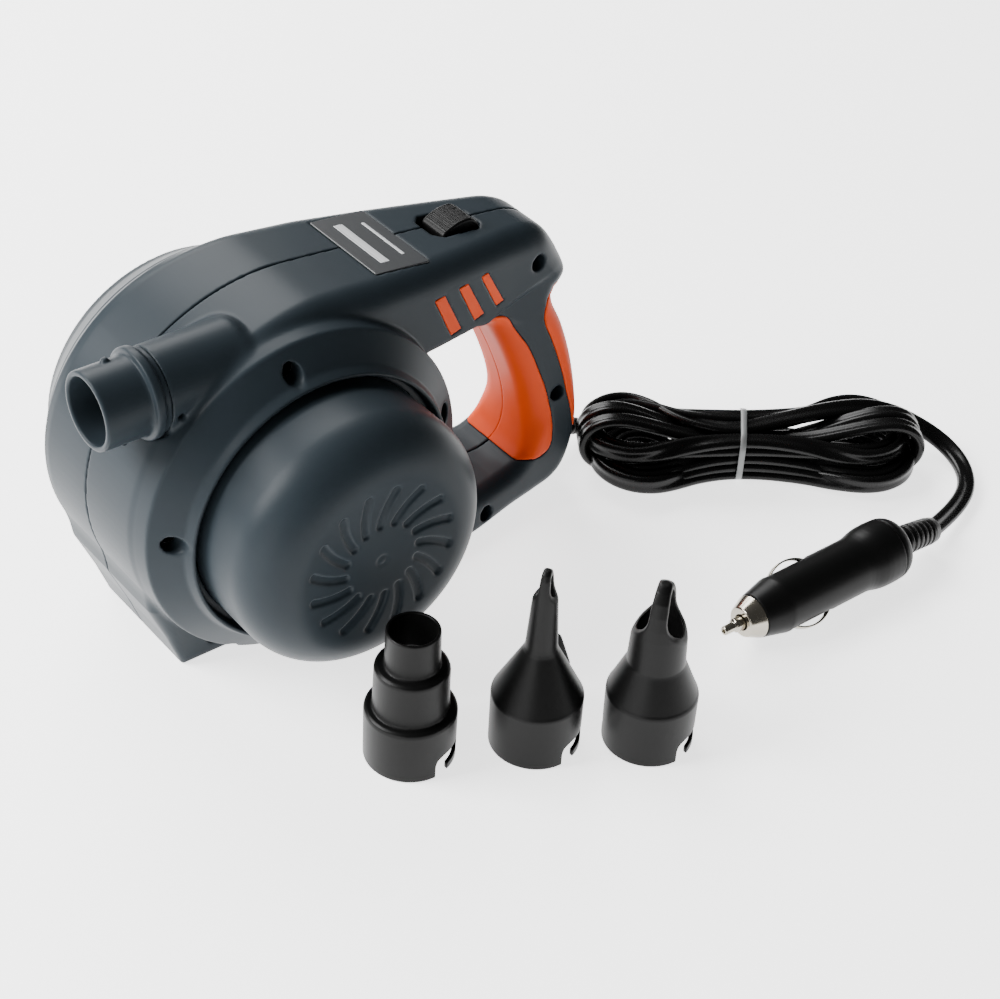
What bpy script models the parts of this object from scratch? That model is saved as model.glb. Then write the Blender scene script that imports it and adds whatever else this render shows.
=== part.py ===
"""Hand-held 12 V air mattress pump with three nozzle adapters and a lead with a car plug.

Frame: +Z up, origin on the floor below the motor's axis. +X runs towards the handle, -X is
the way the outlet spigot blows, and -Y is the side of the round motor cover.
Sizes below are in millimetres; MM turns them into Blender's metres.
"""
import math

import bmesh
import bpy
from mathutils import Matrix, Vector

MM = 0.001
GAP = 0.3                    # clearance between neighbouring solids
WALL = 2.5                   # housing wall

# the two housing halves
SEAM_Y = 1.0                 # parting plane
AXIS_Z = 62.7                # height of the motor's axis
DRUM_R = 61.3                # fan drum
CONE_R = 60.2                # outer edge of the coned ring round the motor cover
CONE_Y = 35.5                # its distance from the mid-plane
FAR_CONE = [(57.0, 34.6), (58.0, 33.0)]           # the far ring's smaller shoulder
FAR_CAVITY = [(58.8, 27.4), (55.0, 33.2)]         # and the cavity behind it
RIM_R = 51.1                 # inner edge of the cone, where the rim starts
RIM_Y = 43.5
RIM_TOP_Y = 46.8
RIM_BORE_R = 48.9
FLANGE_R = 50.0              # flanges of the cover and the grille, held behind the rims
FLANGE_Y = (39.4, 41.2)
HALF_WIDTH = 29.8            # half width of the body up to TAPER_X
TAPER_X = 35.0
TAPER = 0.155                # half width lost per millimetre towards the handle
FOOT_HALF_WIDTH = 25.6
HANDLE_CORE_Y = 11.0         # half width of the handle's core under the soft grips

# motor cover, motor and fan
COVER_R = 46.4
COVER_FACE_Y = 79.0
COVER_EDGE_R = 17.0
COVER_WALL = 2.2
MOTOR_R = 18.0
MOTOR_FRONT_Y = 30.0
MOTOR_BACK_Y = 72.0
SHAFT_R = 1.6
SHAFT_FIT = 0.3
PLATE_R = 57.6
IMPELLER_R = 47.0
BLADES = 9

# outlet spigot
SPIGOT_Y = -18.2
SPIGOT_Z = 112.3
SPIGOT_R = 13.3
SPIGOT_BORE = 11.3
SPIGOT_MOUTH_X = -69.3
SPIGOT_ROOT_X = -47.0
COLLAR_R = 15.3
DUCT_R = 15.6

# switch and label on top, which falls towards the handle
TOP_SLOPE = 0.098
TOP_X0 = 14.0
TOP_Z0 = 127.6
SWITCH_X = 82.4
LABEL_X = 49.3
LABEL_SIZE = (22.0, 39.0, 0.5)

# lead, hank and plug
CORD_THICK = 3.6
GLAND_START = (133.2, 0.0, 12.5)
GLAND_END = (151.0, 0.0, 7.0)
HANK_CENTRE = (192.2, -48.7)
HANK_ANGLE = -34.0
HANK_BACK = 62.0             # from the tie to the end beside the handle
HANK_FRONT = 67.0
HANK_LOBES = (18.5, 22.0)    # half widths of the two ends
HANK_WAIST = 11.5
HANK_Z = (1.4, 19.4)
PLUG_Y = -126.8
PLUG_Z = 11.9
PLUG_TIP_X = 111.5
CONTACT_TILT = math.radians(38.0)                 # far contact's direction above level

# nozzle adapters
NOZZLE_R = 15.4
NOZZLE_WALL = 1.7
SLOT_ANGLES = (-82.5, 97.5)  # middle of each bayonet slot's entry
NOZZLES = {"stepped": (-4.5, -102.3), "needle": (32.9, -121.2), "valve": (64.8, -141.8)}

RING_SCREW_R = 54.0
RING_SCREW_ANGLES = {"ring_top": 99.0, "ring_right": 14.8, "ring_left": 174.6}
BODY_SCREWS = {              # x, z, depth of the head's seat and length of the boss
    "nose": (109.0, 105.0, 9.0, 16.0),
    "foot": (-31.0, 8.0, 18.0, 22.0),
    "lower_arm": (88.0, 6.4, 13.0, 18.0),
    "handle": (124.0, 43.0, 8.0, 12.0),
}

COLOURS = {                  # colour, roughness, metallic
    "slate_plastic": ((0.105, 0.128, 0.145), 0.42, 0.0),
    "orange_soft": ((0.74, 0.125, 0.022), 0.55, 0.0),
    "black_plastic": ((0.012, 0.012, 0.013), 0.38, 0.0),
    "label_film": ((0.03, 0.032, 0.034), 0.3, 0.0),
    "steel": ((0.55, 0.55, 0.56), 0.3, 1.0),
    "nickel": ((0.72, 0.68, 0.6), 0.2, 1.0),
    "copper": ((0.72, 0.36, 0.2), 0.35, 1.0),
    "magnet": ((0.06, 0.06, 0.065), 0.6, 0.0),
    "cord_pvc": ((0.008, 0.008, 0.008), 0.3, 0.0),
    "tie_nylon": ((0.82, 0.83, 0.83), 0.45, 0.0),
    "fan_nylon": ((0.75, 0.75, 0.72), 0.5, 0.0),
    "fuse_glass": ((0.8, 0.82, 0.82), 0.15, 0.0),
    "wire_red": ((0.5, 0.02, 0.02), 0.4, 0.0),
}


# ---------------------------------------------------------------- helpers

def all_screws():
    """Name to x, z, seat depth and boss length."""
    screws = dict(BODY_SCREWS)
    for name, angle in RING_SCREW_ANGLES.items():
        x = RING_SCREW_R * math.cos(math.radians(angle))
        z = AXIS_Z + RING_SCREW_R * math.sin(math.radians(angle))
        screws[name] = (x, z, 24.0, 37.0)
    return screws


def clear_scene():
    for obj in list(bpy.data.objects):
        bpy.data.objects.remove(obj)


def collection(name):
    group = bpy.data.collections.new(name)
    bpy.context.scene.collection.children.link(group)
    return group


def make_materials():
    made = {}
    for name, (colour, roughness, metallic) in COLOURS.items():
        mat = bpy.data.materials.new(name)
        mat.use_nodes = True
        shader = mat.node_tree.nodes["Principled BSDF"]
        shader.inputs["Base Color"].default_value = (*colour, 1.0)
        shader.inputs["Roughness"].default_value = roughness
        shader.inputs["Metallic"].default_value = metallic
        mat.diffuse_color = (*colour, 1.0)
        made[name] = mat
    return made


def add_object(name, mesh):
    """A new object among the tools; keep() moves a finished part to the pump's collection."""
    obj = bpy.data.objects.new(name, mesh)
    TOOLS.objects.link(obj)
    obj.hide_render = True
    obj.display_type = "WIRE"
    return obj


def keep(obj, name, material):
    obj.name = name
    obj.data.materials.clear()
    obj.data.materials.append(MATERIALS[material])
    TOOLS.objects.unlink(obj)
    PARTS.objects.link(obj)
    obj.hide_render = False
    obj.display_type = "TEXTURED"
    return obj


def boolean(obj, tool, operation="DIFFERENCE"):
    step = obj.modifiers.new(operation.lower(), "BOOLEAN")
    step.operation = operation
    step.solver = "EXACT"
    step.object = tool
    return obj


def block(low, high, turn=None):
    """A box between two corners; turn is a matrix applied about the box's centre."""
    low, high = Vector(low), Vector(high)
    mesh = bpy.data.meshes.new("block")
    bm = bmesh.new()
    bmesh.ops.create_cube(bm, size=1.0)
    size = (high - low) * MM
    bmesh.ops.scale(bm, vec=size, verts=bm.verts)
    bm.to_mesh(mesh)
    bm.free()
    obj = add_object("block", mesh)
    obj.matrix_world = Matrix.Translation((low + high) * 0.5 * MM) @ (turn or Matrix())
    return obj


def aim(place, direction):
    """A matrix that puts local +Z along a direction, at a place in millimetres."""
    turn = Vector(direction).normalized().to_track_quat("Z", "Y").to_matrix().to_4x4()
    return Matrix.Translation(Vector(place) * MM) @ turn


TO_COVER = Matrix.Rotation(math.radians(90), 4, "X")      # local +Z becomes -Y, local +Y is up


def about_motor(point_y=0.0):
    return Matrix.Translation(Vector((0, point_y, AXIS_Z)) * MM) @ TO_COVER


def lathe(profile, place, steps=32):
    """Turn a profile of (radius, height) pairs, listed from the top down its outer side."""
    mesh = bpy.data.meshes.new("lathe")
    points = [(r * MM, 0.0, h * MM) for r, h in profile]
    edges = [(i, i + 1) for i in range(len(points) - 1)]
    if profile[0][0] > 0 or profile[-1][0] > 0:
        edges.append((len(points) - 1, 0))
    mesh.from_pydata(points, edges, [])
    obj = add_object("lathe", mesh)
    screw = obj.modifiers.new("turn", "SCREW")
    screw.axis = "Z"
    screw.steps = steps
    screw.render_steps = steps
    screw.use_merge_vertices = True
    screw.merge_threshold = 0.00001
    obj.matrix_world = place
    return obj


def rod(radius, low, high, place, steps=16):
    return lathe([(0, high), (radius, high), (radius, low), (0, low)], place, steps)


def as_mesh(obj):
    """Replace a curve object by a mesh object whose caps are welded on."""
    bpy.context.view_layer.update()
    evaluated = obj.evaluated_get(bpy.context.evaluated_depsgraph_get())
    mesh = bpy.data.meshes.new_from_object(evaluated)
    bm = bmesh.new()
    bm.from_mesh(mesh)
    bmesh.ops.remove_doubles(bm, verts=bm.verts, dist=0.000005)
    bmesh.ops.recalc_face_normals(bm, faces=bm.faces)
    bm.to_mesh(mesh)
    bm.free()
    solid = add_object(obj.name, mesh)
    solid.matrix_world = obj.matrix_world.copy()
    bpy.data.objects.remove(obj)
    return solid


def plate(loops, thickness, place):
    """A flat outline, with any holes as further loops, extruded evenly about its plane."""
    curve = bpy.data.curves.new("outline", "CURVE")
    curve.dimensions = "2D"
    curve.fill_mode = "BOTH"
    curve.extrude = thickness * 0.5 * MM
    for loop in loops:
        spline = curve.splines.new("POLY")
        spline.points.add(len(loop) - 1)
        for point, (x, y) in zip(spline.points, loop):
            point.co = (x * MM, y * MM, 0.0, 1.0)
        spline.use_cyclic_u = True
    obj = add_object("outline", curve)
    obj.matrix_world = place
    return as_mesh(obj)


def profile_plate(loops, y_low, y_high):
    """A side-view outline in x and z, extruded between two values of y."""
    place = Matrix.Translation((0, (y_low + y_high) * 0.5 * MM, 0)) @ TO_COVER
    return plate(loops, y_high - y_low, place)


def floor_plate(loop, z_low, z_high, place=None):
    rise = Matrix.Translation((0, 0, (z_low + z_high) * 0.5 * MM))
    return plate([loop], z_high - z_low, (place or Matrix()) @ rise)


def tube(points, radius, sides=2):
    curve = bpy.data.curves.new("tube", "CURVE")
    curve.dimensions = "3D"
    curve.bevel_depth = radius * MM
    curve.bevel_resolution = sides
    curve.use_fill_caps = True
    spline = curve.splines.new("POLY")
    spline.points.add(len(points) - 1)
    for target, point in zip(spline.points, points):
        target.co = (*(Vector(point) * MM), 1.0)
    return as_mesh(add_object("tube", curve))


def arc(centre, radius, start, end, count):
    """Points along an arc; angles in degrees, count is the number of steps."""
    angles = [math.radians(start + (end - start) * i / count) for i in range(count + 1)]
    return [(centre[0] + radius * math.cos(a), centre[1] + radius * math.sin(a)) for a in angles]


def smooth_path(points, steps):
    """Catmull-Rom curve through the points, with steps pieces between each two."""
    ends = [points[0]] + list(points) + [points[-1]]
    nodes = [Vector(p) for p in ends]
    path = []
    for a, b, c, d in zip(nodes, nodes[1:], nodes[2:], nodes[3:]):
        for i in range(steps):
            t = i / steps
            path.append(0.5 * (2 * b + (c - a) * t + (2 * a - 5 * b + 4 * c - d) * t * t
                               + (3 * b - a - 3 * c + d) * t ** 3))
    path.append(nodes[-1])
    return path


def bevel(obj, width, segments=2, angle=40):
    step = obj.modifiers.new("round", "BEVEL")
    step.width = width * MM
    step.segments = segments
    step.limit_method = "ANGLE"
    step.angle_limit = math.radians(angle)
    return obj


def top_z(x):
    return TOP_Z0 - TOP_SLOPE * (x - TOP_X0)


TOP_TILT = Matrix.Rotation(math.atan(TOP_SLOPE), 4, "Y")


# ---------------------------------------------------------------- housing outlines

def handle_front():
    """Front of the grip, from the top arm's underside down to the lower arm."""
    return [(80, 91.5), (88, 87.5), (95, 79.5), (101.5, 68), (107, 56), (111, 45),
            (113.2, 35), (113, 27), (110.3, 20.5), (104.5, 16.2)]


def handle_back():
    """Back of the handle, from under the nose down to the floor."""
    return [(119.5, 89.2), (121, 84), (125.5, 74), (130.5, 58), (134, 42),
            (135.8, 28), (135.2, 17), (131.5, 7), (124, 1.5), (112, 0)]


def body_outline():
    front = [(-43.3, 0), (-48.5, 13.9), (-55.4, 29.6)]
    drum = arc((0, AXIS_Z), DRUM_R, 202, 128, 9)
    top = [(-25, 119.2), (-11, 125), (6, 127.8), (20, top_z(20)), (113, top_z(113))]
    nose = [(119.5, 111.5), (124.5, 104), (127.5, 97.5), (127.5, 93), (124.5, 90)]
    return front + drum + top + nose + handle_back()


def finger_opening():
    """The gap that the fingers go through, between the drum and the grip."""
    drum_side = arc((0, AXIS_Z), DRUM_R, -49, 26, 7)
    return [(62, 15.6), (44, 15.6)] + drum_side + [(59, 91.2)] + handle_front()


def side_cutter(side):
    """Takes the body down to its tapering half width on one side of the mid-plane."""
    length, width, height = 240.0, 60.0, 180.0
    obj = block((-length / 2, -width / 2, -height / 2), (length / 2, width / 2, height / 2))
    corner = Matrix.Translation(Vector((TAPER_X, side * HALF_WIDTH, AXIS_Z)) * MM)
    turn = Matrix.Rotation(-side * math.atan(TAPER), 4, "Z")
    half = Matrix.Translation(Vector((length / 2, side * width / 2, 0)) * MM)
    obj.matrix_world = corner @ turn @ half
    return obj


def foot_cutter(side):
    """Draws the sides in towards the floor."""
    lean = side * math.atan((HALF_WIDTH - FOOT_HALF_WIDTH) / 40.0)
    obj = block((-130, 0, 0), (110, 30, 60))
    corner = Matrix.Translation(Vector((-10, side * FOOT_HALF_WIDTH, 0)) * MM)
    half = Matrix.Translation(Vector((0, side * 15, 10)) * MM)
    obj.matrix_world = corner @ Matrix.Rotation(-lean, 4, "X") @ half
    return obj


def outer_body():
    """Skirt, arms and handle in one, before the drum is added."""
    body = profile_plate([body_outline(), finger_opening()], -HALF_WIDTH, HALF_WIDTH)
    for side in (-1, 1):
        boolean(body, side_cutter(side))
        boolean(body, foot_cutter(side))
    return bevel(body, 3.5, 1)


def side_place(side):
    """Motor axis with local +Z pointing out of one side."""
    return about_motor() if side < 0 else about_motor() @ Matrix.Rotation(math.pi, 4, "X")


def drum(side):
    near_cone = [(CONE_R - 0.4, CONE_Y + 0.5), (CONE_R + 0.2, CONE_Y - 1.5)]
    profile = [(0, RIM_TOP_Y), (RIM_BORE_R + 0.6, RIM_TOP_Y), (RIM_BORE_R + 1.2, RIM_TOP_Y - 0.7),
               (RIM_R, RIM_Y)] + (near_cone if side < 0 else FAR_CONE)
    profile += [(DRUM_R, CONE_Y - 6.5), (DRUM_R, -6), (0, -6)]
    return lathe(profile, side_place(side), 56)


# ---------------------------------------------------------------- housing cavities

def drum_cavity():
    inner = DRUM_R - WALL
    edge = CONE_Y - WALL
    bore = FLANGE_R + GAP
    top = FLANGE_Y[1] + GAP
    far = [(r, -y) for r, y in FAR_CAVITY]
    profile = [(0, top), (bore, top), (inner, edge)] + far + [(bore, -top), (0, -top)]
    return lathe(profile, about_motor(), 40)


def rim_bore():
    return lathe([(0, 60), (RIM_BORE_R, 60), (RIM_BORE_R, -60), (0, -60)], about_motor(), 40)


def arm_cavity():
    outline = [(30, 95), (118, 93.5), (122, 98), (112, top_z(112) - 3.2), (30, top_z(30) - 3.2)]
    return profile_plate([outline], -14.5, 14.5)


def handle_cavity():
    front = [(x + 5.0, z) for x, z in handle_front()[3:9]]
    back = [(x - 6.0, z) for x, z in handle_back()[2:7]]
    return profile_plate([[(112, 96)] + front + back[::-1] + [(119.0, 96)]], -8.5, 8.5)


def lower_cavity():
    outline = [(38, 3), (122, 3), (127.5, 12), (126, 19), (118.5, 21.5), (112, 12.6), (38, 12.6)]
    return profile_plate([outline], -10, 10)


def foot_cavity():
    outline = [(-40, 3), (20, 3), (0, 8), (-46, 26), (-44.5, 14)]
    return profile_plate([outline], -19, 19)


def duct_cavity():
    return rod(SPIGOT_BORE, -8, 46, aim((0, SPIGOT_Y, SPIGOT_Z), (-1, 0, 0)), 24)


def duct_hump():
    """The swelling that carries the spigot out of the drum."""
    place = aim((0, SPIGOT_Y, SPIGOT_Z), (-1, 0, 0))
    return lathe([(0, 45.5), (COLLAR_R - 0.9, 45.5), (DUCT_R, 30), (DUCT_R, 2), (0, -9)], place, 28)


def spigot_seat():
    """Flat seat and clearance for the spigot's root and collar."""
    place = aim((0, SPIGOT_Y, SPIGOT_Z), (-1, 0, 0))
    return rod(COLLAR_R + GAP, -SPIGOT_ROOT_X - GAP, 80, place, 28)


def switch_opening():
    outline = [(-10.2, -4.5), (-7.2, -7.6), (7.2, -7.6), (10.2, -4.5),
               (10.2, 4.5), (7.2, 7.6), (-7.2, 7.6), (-10.2, 4.5)]
    place = Matrix.Translation(Vector((SWITCH_X, 0, top_z(SWITCH_X))) * MM) @ TOP_TILT
    return floor_plate(outline, -8, 8, place)


def label_pocket():
    x, y, _ = LABEL_SIZE
    obj = block((-x / 2 - GAP, -y / 2 - GAP, -0.7), (x / 2 + GAP, y / 2 + GAP, 4))
    place = Matrix.Translation(Vector((LABEL_X, 0, top_z(LABEL_X))) * MM) @ TOP_TILT
    obj.matrix_world = place @ Matrix.Translation((0, 0, 1.65 * MM))
    return obj


def gland_hole():
    return rod(3.3, -14, 16, aim(GLAND_START, Vector(GLAND_END) - Vector(GLAND_START)), 16)


# ---------------------------------------------------------------- soft grips and accents

def front_grip_region():
    edge = [(88, 94.5), (95.5, 88.5), (102.5, 76), (110.5, 60), (116.3, 45), (120.8, 31),
            (121, 22.5), (117.5, 19), (110, 18.6), (96, 18.6)]
    return edge + [(92, 30), (88, 60), (78, 94.5)]


def back_grip_region():
    edge = [(118, 91.5), (114.5, 84), (115, 78), (121, 65.5), (125.5, 54), (129, 42), (132, 27)]
    return edge + [(133, 22), (142, 22), (142, 60), (130, 88.6)]


def grip_core(grow):
    """The handle's own skin under the grips; grow is added all round."""
    front = [(x + 2.4 - grow, z) for x, z in handle_front()]
    back = [(x - 2.2 + grow, z) for x, z in handle_back()[:-2]]
    top = [(100, 104), (76, 104)]
    width = HANDLE_CORE_Y + grow
    return profile_plate([top + front + back[::-1] + [(118, 104)]], -width, width)


def grip_cutter(region, core):
    return boolean(profile_plate([region], -40, 40), core)


def half_space(side, gap):
    """Everything on the other side of the parting plane."""
    edge = SEAM_Y + side * gap / 2
    if side < 0:
        return block((-120, edge, -30), (180, edge + 120, 170))
    return block((-120, edge - 120, -30), (180, edge, 170))


def make_grip(name, region, inset_region, side):
    """One half's soft overmould: the body's outer shape inside the region, less the core."""
    grip = outer_body()
    boolean(grip, profile_plate([inset_region], -40, 40), "INTERSECT")
    boolean(grip, grip_core(GAP))
    boolean(grip, half_space(side, GAP))
    return keep(grip, name, "orange_soft")


def shrink(region, amount):
    """Move an outline's points in towards its middle by a small amount."""
    cx = sum(x for x, _ in region) / len(region)
    cz = sum(z for _, z in region) / len(region)
    moved = []
    for x, z in region:
        reach = math.hypot(x - cx, z - cz)
        moved.append((x - (x - cx) * amount / reach, z - (z - cz) * amount / reach))
    return moved


def accent_shape(index, margin):
    """Slanted bar on the arm's side; the bars get narrower towards the handle."""
    left = (57.5, 68.9, 79.7)[index] + margin
    width = (4.8, 4.5, 3.5)[index] - 2 * margin
    low = (95.0, 96.0, 97.0)[index] + margin
    high = 112.0 - margin
    lean = 8.6
    return [(left, high), (left + width, high), (left + width + lean, low), (left + lean, low)]


def accent(index, side, margin, depth):
    """A bar that follows the tapering side; margin shrinks it, depth is how far it sinks."""
    shape = accent_shape(index, margin)
    middle = sum(x for x, _ in shape) / 4
    surface = HALF_WIDTH - TAPER * (middle - TAPER_X)
    local = [(x - middle, z - AXIS_Z) for x, z in shape]
    bar = plate([local], 2 * depth, Matrix())
    turn = Matrix.Rotation(-side * math.atan(TAPER), 4, "Z")
    place = Matrix.Translation(Vector((middle, side * surface, AXIS_Z)) * MM)
    bar.matrix_world = place @ turn @ TO_COVER
    return bar


# ---------------------------------------------------------------- the two halves

def boss_tools(side):
    """Screw bosses of one half, and the holes through them."""
    bosses, holes = [], []
    for x, z, seat, reach in all_screws().values():
        place = Matrix.Translation(Vector((x, 0, z)) * MM) @ TO_COVER
        if side < 0:
            bosses.append(rod(4.4, -1, reach, place, 12))
            holes.append(rod(3.2, seat, 60, place, 12))
            holes.append(rod(1.9, -4, seat + 1, place, 8))
        else:
            bosses.append(rod(4.0, -reach, -1.2, place, 12))
            holes.append(rod(1.9, -10.6, 4, place, 8))
    return bosses, holes


def housing(side):
    half = outer_body()
    boolean(half, drum(side), "UNION")
    if side < 0:
        boolean(half, duct_hump(), "UNION")
    cavities = [drum_cavity(), arm_cavity(), handle_cavity(), lower_cavity(), foot_cavity()]
    if side < 0:
        cavities.append(duct_cavity())
    for cavity in cavities:
        boolean(half, cavity)
    boolean(half, rim_bore())
    if side < 0:
        boolean(half, spigot_seat())
    bosses, holes = boss_tools(side)
    for boss in bosses:
        boolean(half, boss, "UNION")
    for hole in holes:
        boolean(half, hole)
    core = grip_core(0)
    for region in (front_grip_region(), back_grip_region()):
        boolean(half, grip_cutter(region, core))
    for index in range(3):
        boolean(half, accent(index, side, 0.0, 1.2))
    for cutter in (switch_opening(), label_pocket(), gland_hole(), half_space(side, GAP)):
        boolean(half, cutter)
    return half


def make_housings():
    keep(housing(-1), "near_housing", "slate_plastic")
    keep(housing(1), "far_housing", "slate_plastic")


def make_grips():
    for label, side in (("near", -1), ("far", 1)):
        front = front_grip_region()
        back = back_grip_region()
        make_grip(label + "_front_grip", front, shrink(front, 0.45), side)
        make_grip(label + "_back_grip", back, shrink(back, 0.45), side)
        for index in range(3):
            bar = accent(index, side, GAP, 0.9)
            keep(bar, "%s_accent_%d" % (label, index + 1), "orange_soft")


# ---------------------------------------------------------------- cover, grille, spigot

def make_motor_cover():
    r, face, edge = COVER_R, COVER_FACE_Y, COVER_EDGE_R
    inner = edge - COVER_WALL
    centre = (r - edge, face - edge)
    outside = [(x, y) for y, x in arc(centre[::-1], edge, 0, 90, 5)]
    inside = [(x, y) for y, x in arc(centre[::-1], inner, 90, 0, 4)]
    low, high = FLANGE_Y
    flange = [(r, high), (FLANGE_R, high), (FLANGE_R, low), (r - COVER_WALL, low)]
    profile = [(0, face)] + outside + flange + inside + [(0, face - COVER_WALL)]
    cover = lathe(profile, about_motor(), 44)
    keep(cover, "motor_cover", "slate_plastic")


def make_intake_grille():
    """Slotted disc on the far side, with a collar that the adapters also fit."""
    low, high = FLANGE_Y
    face = 47.5
    profile = [(SPIGOT_BORE, 56.0), (SPIGOT_R, 56.0), (SPIGOT_R, face), (COVER_R - 2, face),
               (COVER_R, face - 2), (COVER_R, high), (FLANGE_R, high), (FLANGE_R, low),
               (COVER_R - WALL, low), (COVER_R - WALL, face - WALL), (SPIGOT_BORE, face - WALL)]
    grille = lathe(profile, side_place(1), 40)
    slots = 16
    for index in range(slots):
        turn = Matrix.Rotation(2 * math.pi * index / slots, 4, "Y")
        slot = block((-1.7, -6.0, -11.0), (1.7, 6.0, 11.0))
        centre = Matrix.Translation(Vector((0, face, AXIS_Z)) * MM)
        slot.matrix_world = centre @ turn @ Matrix.Translation((0, 0, 29.5 * MM))
        boolean(grille, slot)
    keep(grille, "intake_grille", "slate_plastic")


def make_spigot():
    place = aim((0, SPIGOT_Y, SPIGOT_Z), (-1, 0, 0))
    mouth, root = -SPIGOT_MOUTH_X, -SPIGOT_ROOT_X
    profile = [(SPIGOT_BORE, mouth), (SPIGOT_R - 0.4, mouth), (SPIGOT_R, mouth - 0.8),
               (SPIGOT_R, 53.0), (COLLAR_R, 52.0), (COLLAR_R, 49.4), (SPIGOT_R + 0.9, 48.6),
               (SPIGOT_R + 0.9, root), (SPIGOT_BORE, root)]
    spigot = lathe(profile, place, 28)
    for angle in (-132, 48):
        turn = Matrix.Rotation(math.radians(angle), 4, "Z")
        pip = rod(1.5, SPIGOT_R - 1.2, SPIGOT_R + 1.5, Matrix(), 12)
        pip.matrix_world = place @ Matrix.Translation((0, 0, 59.5 * MM)) @ turn @ Matrix.Rotation(
            math.radians(90), 4, "Y")
        boolean(spigot, pip, "UNION")
    keep(spigot, "outlet_spigot", "slate_plastic")


def make_screws():
    for name, (x, z, seat, _) in all_screws().items():
        place = Matrix.Translation(Vector((x, 0, z)) * MM) @ TO_COVER
        head = seat + GAP
        profile = [(0, head + 1.9), (2.7, head + 1.4), (2.7, head), (1.4, head), (1.4, -9.4),
                   (0, -10.0)]
        keep(lathe(profile, place, 10), "screw_" + name, "steel")


# ---------------------------------------------------------------- motor and fan

def make_motor():
    place = about_motor()
    front, back, r = MOTOR_FRONT_Y, MOTOR_BACK_Y, MOTOR_R
    can = lathe([(r - 1.2, back - 3), (r, back - 3), (r, front + 1.5), (r - 1.5, front),
                 (SHAFT_R + SHAFT_FIT, front), (SHAFT_R + SHAFT_FIT, front + 1.5),
                 (r - 1.2, front + 1.5)], place, 24)
    keep(can, "motor_can", "steel")
    cap = lathe([(SHAFT_R + SHAFT_FIT, back), (r - 3, back), (r, back - 1.5), (r, back - 2.7),
                 (SHAFT_R + SHAFT_FIT, back - 2.7)], place, 24)
    keep(cap, "motor_end_cap", "black_plastic")
    magnets = lathe([(13.6, back - 8), (r - 1.5, back - 8), (r - 1.5, front + 5),
                     (13.6, front + 5)], place, 24)
    keep(magnets, "motor_magnets", "magnet")
    armature = lathe([(SHAFT_R + SHAFT_FIT, back - 7), (8, back - 7), (12.8, back - 12),
                      (12.8, front + 8), (8, front + 4), (SHAFT_R + SHAFT_FIT, front + 4)], place, 16)
    keep(armature, "motor_armature", "copper")
    shaft = rod(SHAFT_R, -2.0, back + 1.0, place, 12)
    keep(shaft, "motor_shaft", "steel")
    plate_profile = [(8.5, 29.2), (PLATE_R, 29.2), (PLATE_R, 26.8), (8.5, 26.8)]
    fan_plate = lathe(plate_profile, place, 40)
    for x, z, _, _ in all_screws().values():
        hole_place = Matrix.Translation(Vector((x, 0, z)) * MM) @ TO_COVER
        boolean(fan_plate, rod(5.6, 20, 35, hole_place, 12))
    keep(fan_plate, "fan_plate", "slate_plastic")


def make_impeller():
    place = about_motor()
    hub = lathe([(SHAFT_R + SHAFT_FIT, 24), (6.5, 24), (8, 22.5), (IMPELLER_R, 22.5), (IMPELLER_R, 20.7),
                 (8, 20.7), (7, 2), (SHAFT_R + SHAFT_FIT, 2)], place, 32)
    for index in range(BLADES):
        turn = Matrix.Rotation(2 * math.pi * index / BLADES, 4, "Z")
        lean = Matrix.Rotation(math.radians(28), 4, "Z")
        blade = block((-15, -0.7, -7), (15, 0.7, 7))
        reach = Matrix.Translation(Vector((30.5, 0, 14.5)) * MM)
        blade.matrix_world = place @ turn @ reach @ lean
        boolean(hub, blade, "UNION")
    keep(hub, "impeller", "fan_nylon")


# ---------------------------------------------------------------- switch and label

def make_switch():
    surface = Matrix.Translation(Vector((SWITCH_X, 0, top_z(SWITCH_X))) * MM) @ TOP_TILT
    outline = [(-6.6, -3.4), (-6.6, -0.6), (-4, 1.2), (0, 2.9), (3.6, 3.4), (6.6, 2.6),
               (8.6, 0.8), (9.0, -1.2), (9.0, -3.4)]
    button = plate([outline], 12.6, Matrix())
    button.matrix_world = surface @ TO_COVER
    bevel(button, 0.8, 1, 50)
    keep(button, "switch_button", "black_plastic")
    body = block((-13, -10.5, -9.5), (13, 10.5, -3.8))
    body.matrix_world = surface @ body.matrix_world
    lower = block((-9, -6, -16), (9, 6, -9))
    lower.matrix_world = surface @ lower.matrix_world
    boolean(body, lower, "UNION")
    keep(body, "switch_body", "black_plastic")


def make_label():
    x, y, thick = LABEL_SIZE
    label = block((-x / 2, -y / 2, -thick / 2), (x / 2, y / 2, thick / 2))
    place = Matrix.Translation(Vector((LABEL_X, 0, top_z(LABEL_X))) * MM) @ TOP_TILT
    label.matrix_world = place @ Matrix.Translation((0, 0, -0.1 * MM))
    keep(label, "label_plate", "label_film")


# ---------------------------------------------------------------- lead and plug

def make_gland():
    direction = Vector(GLAND_END) - Vector(GLAND_START)
    length = direction.length
    profile = [(0, length), (3.4, length), (4.4, 5.0), (4.4, 3.0), (3.0, 3.0), (3.0, -4.2), (0, -4.2)]
    keep(lathe(profile, aim(GLAND_START, direction), 16), "cord_gland", "black_plastic")


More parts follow.
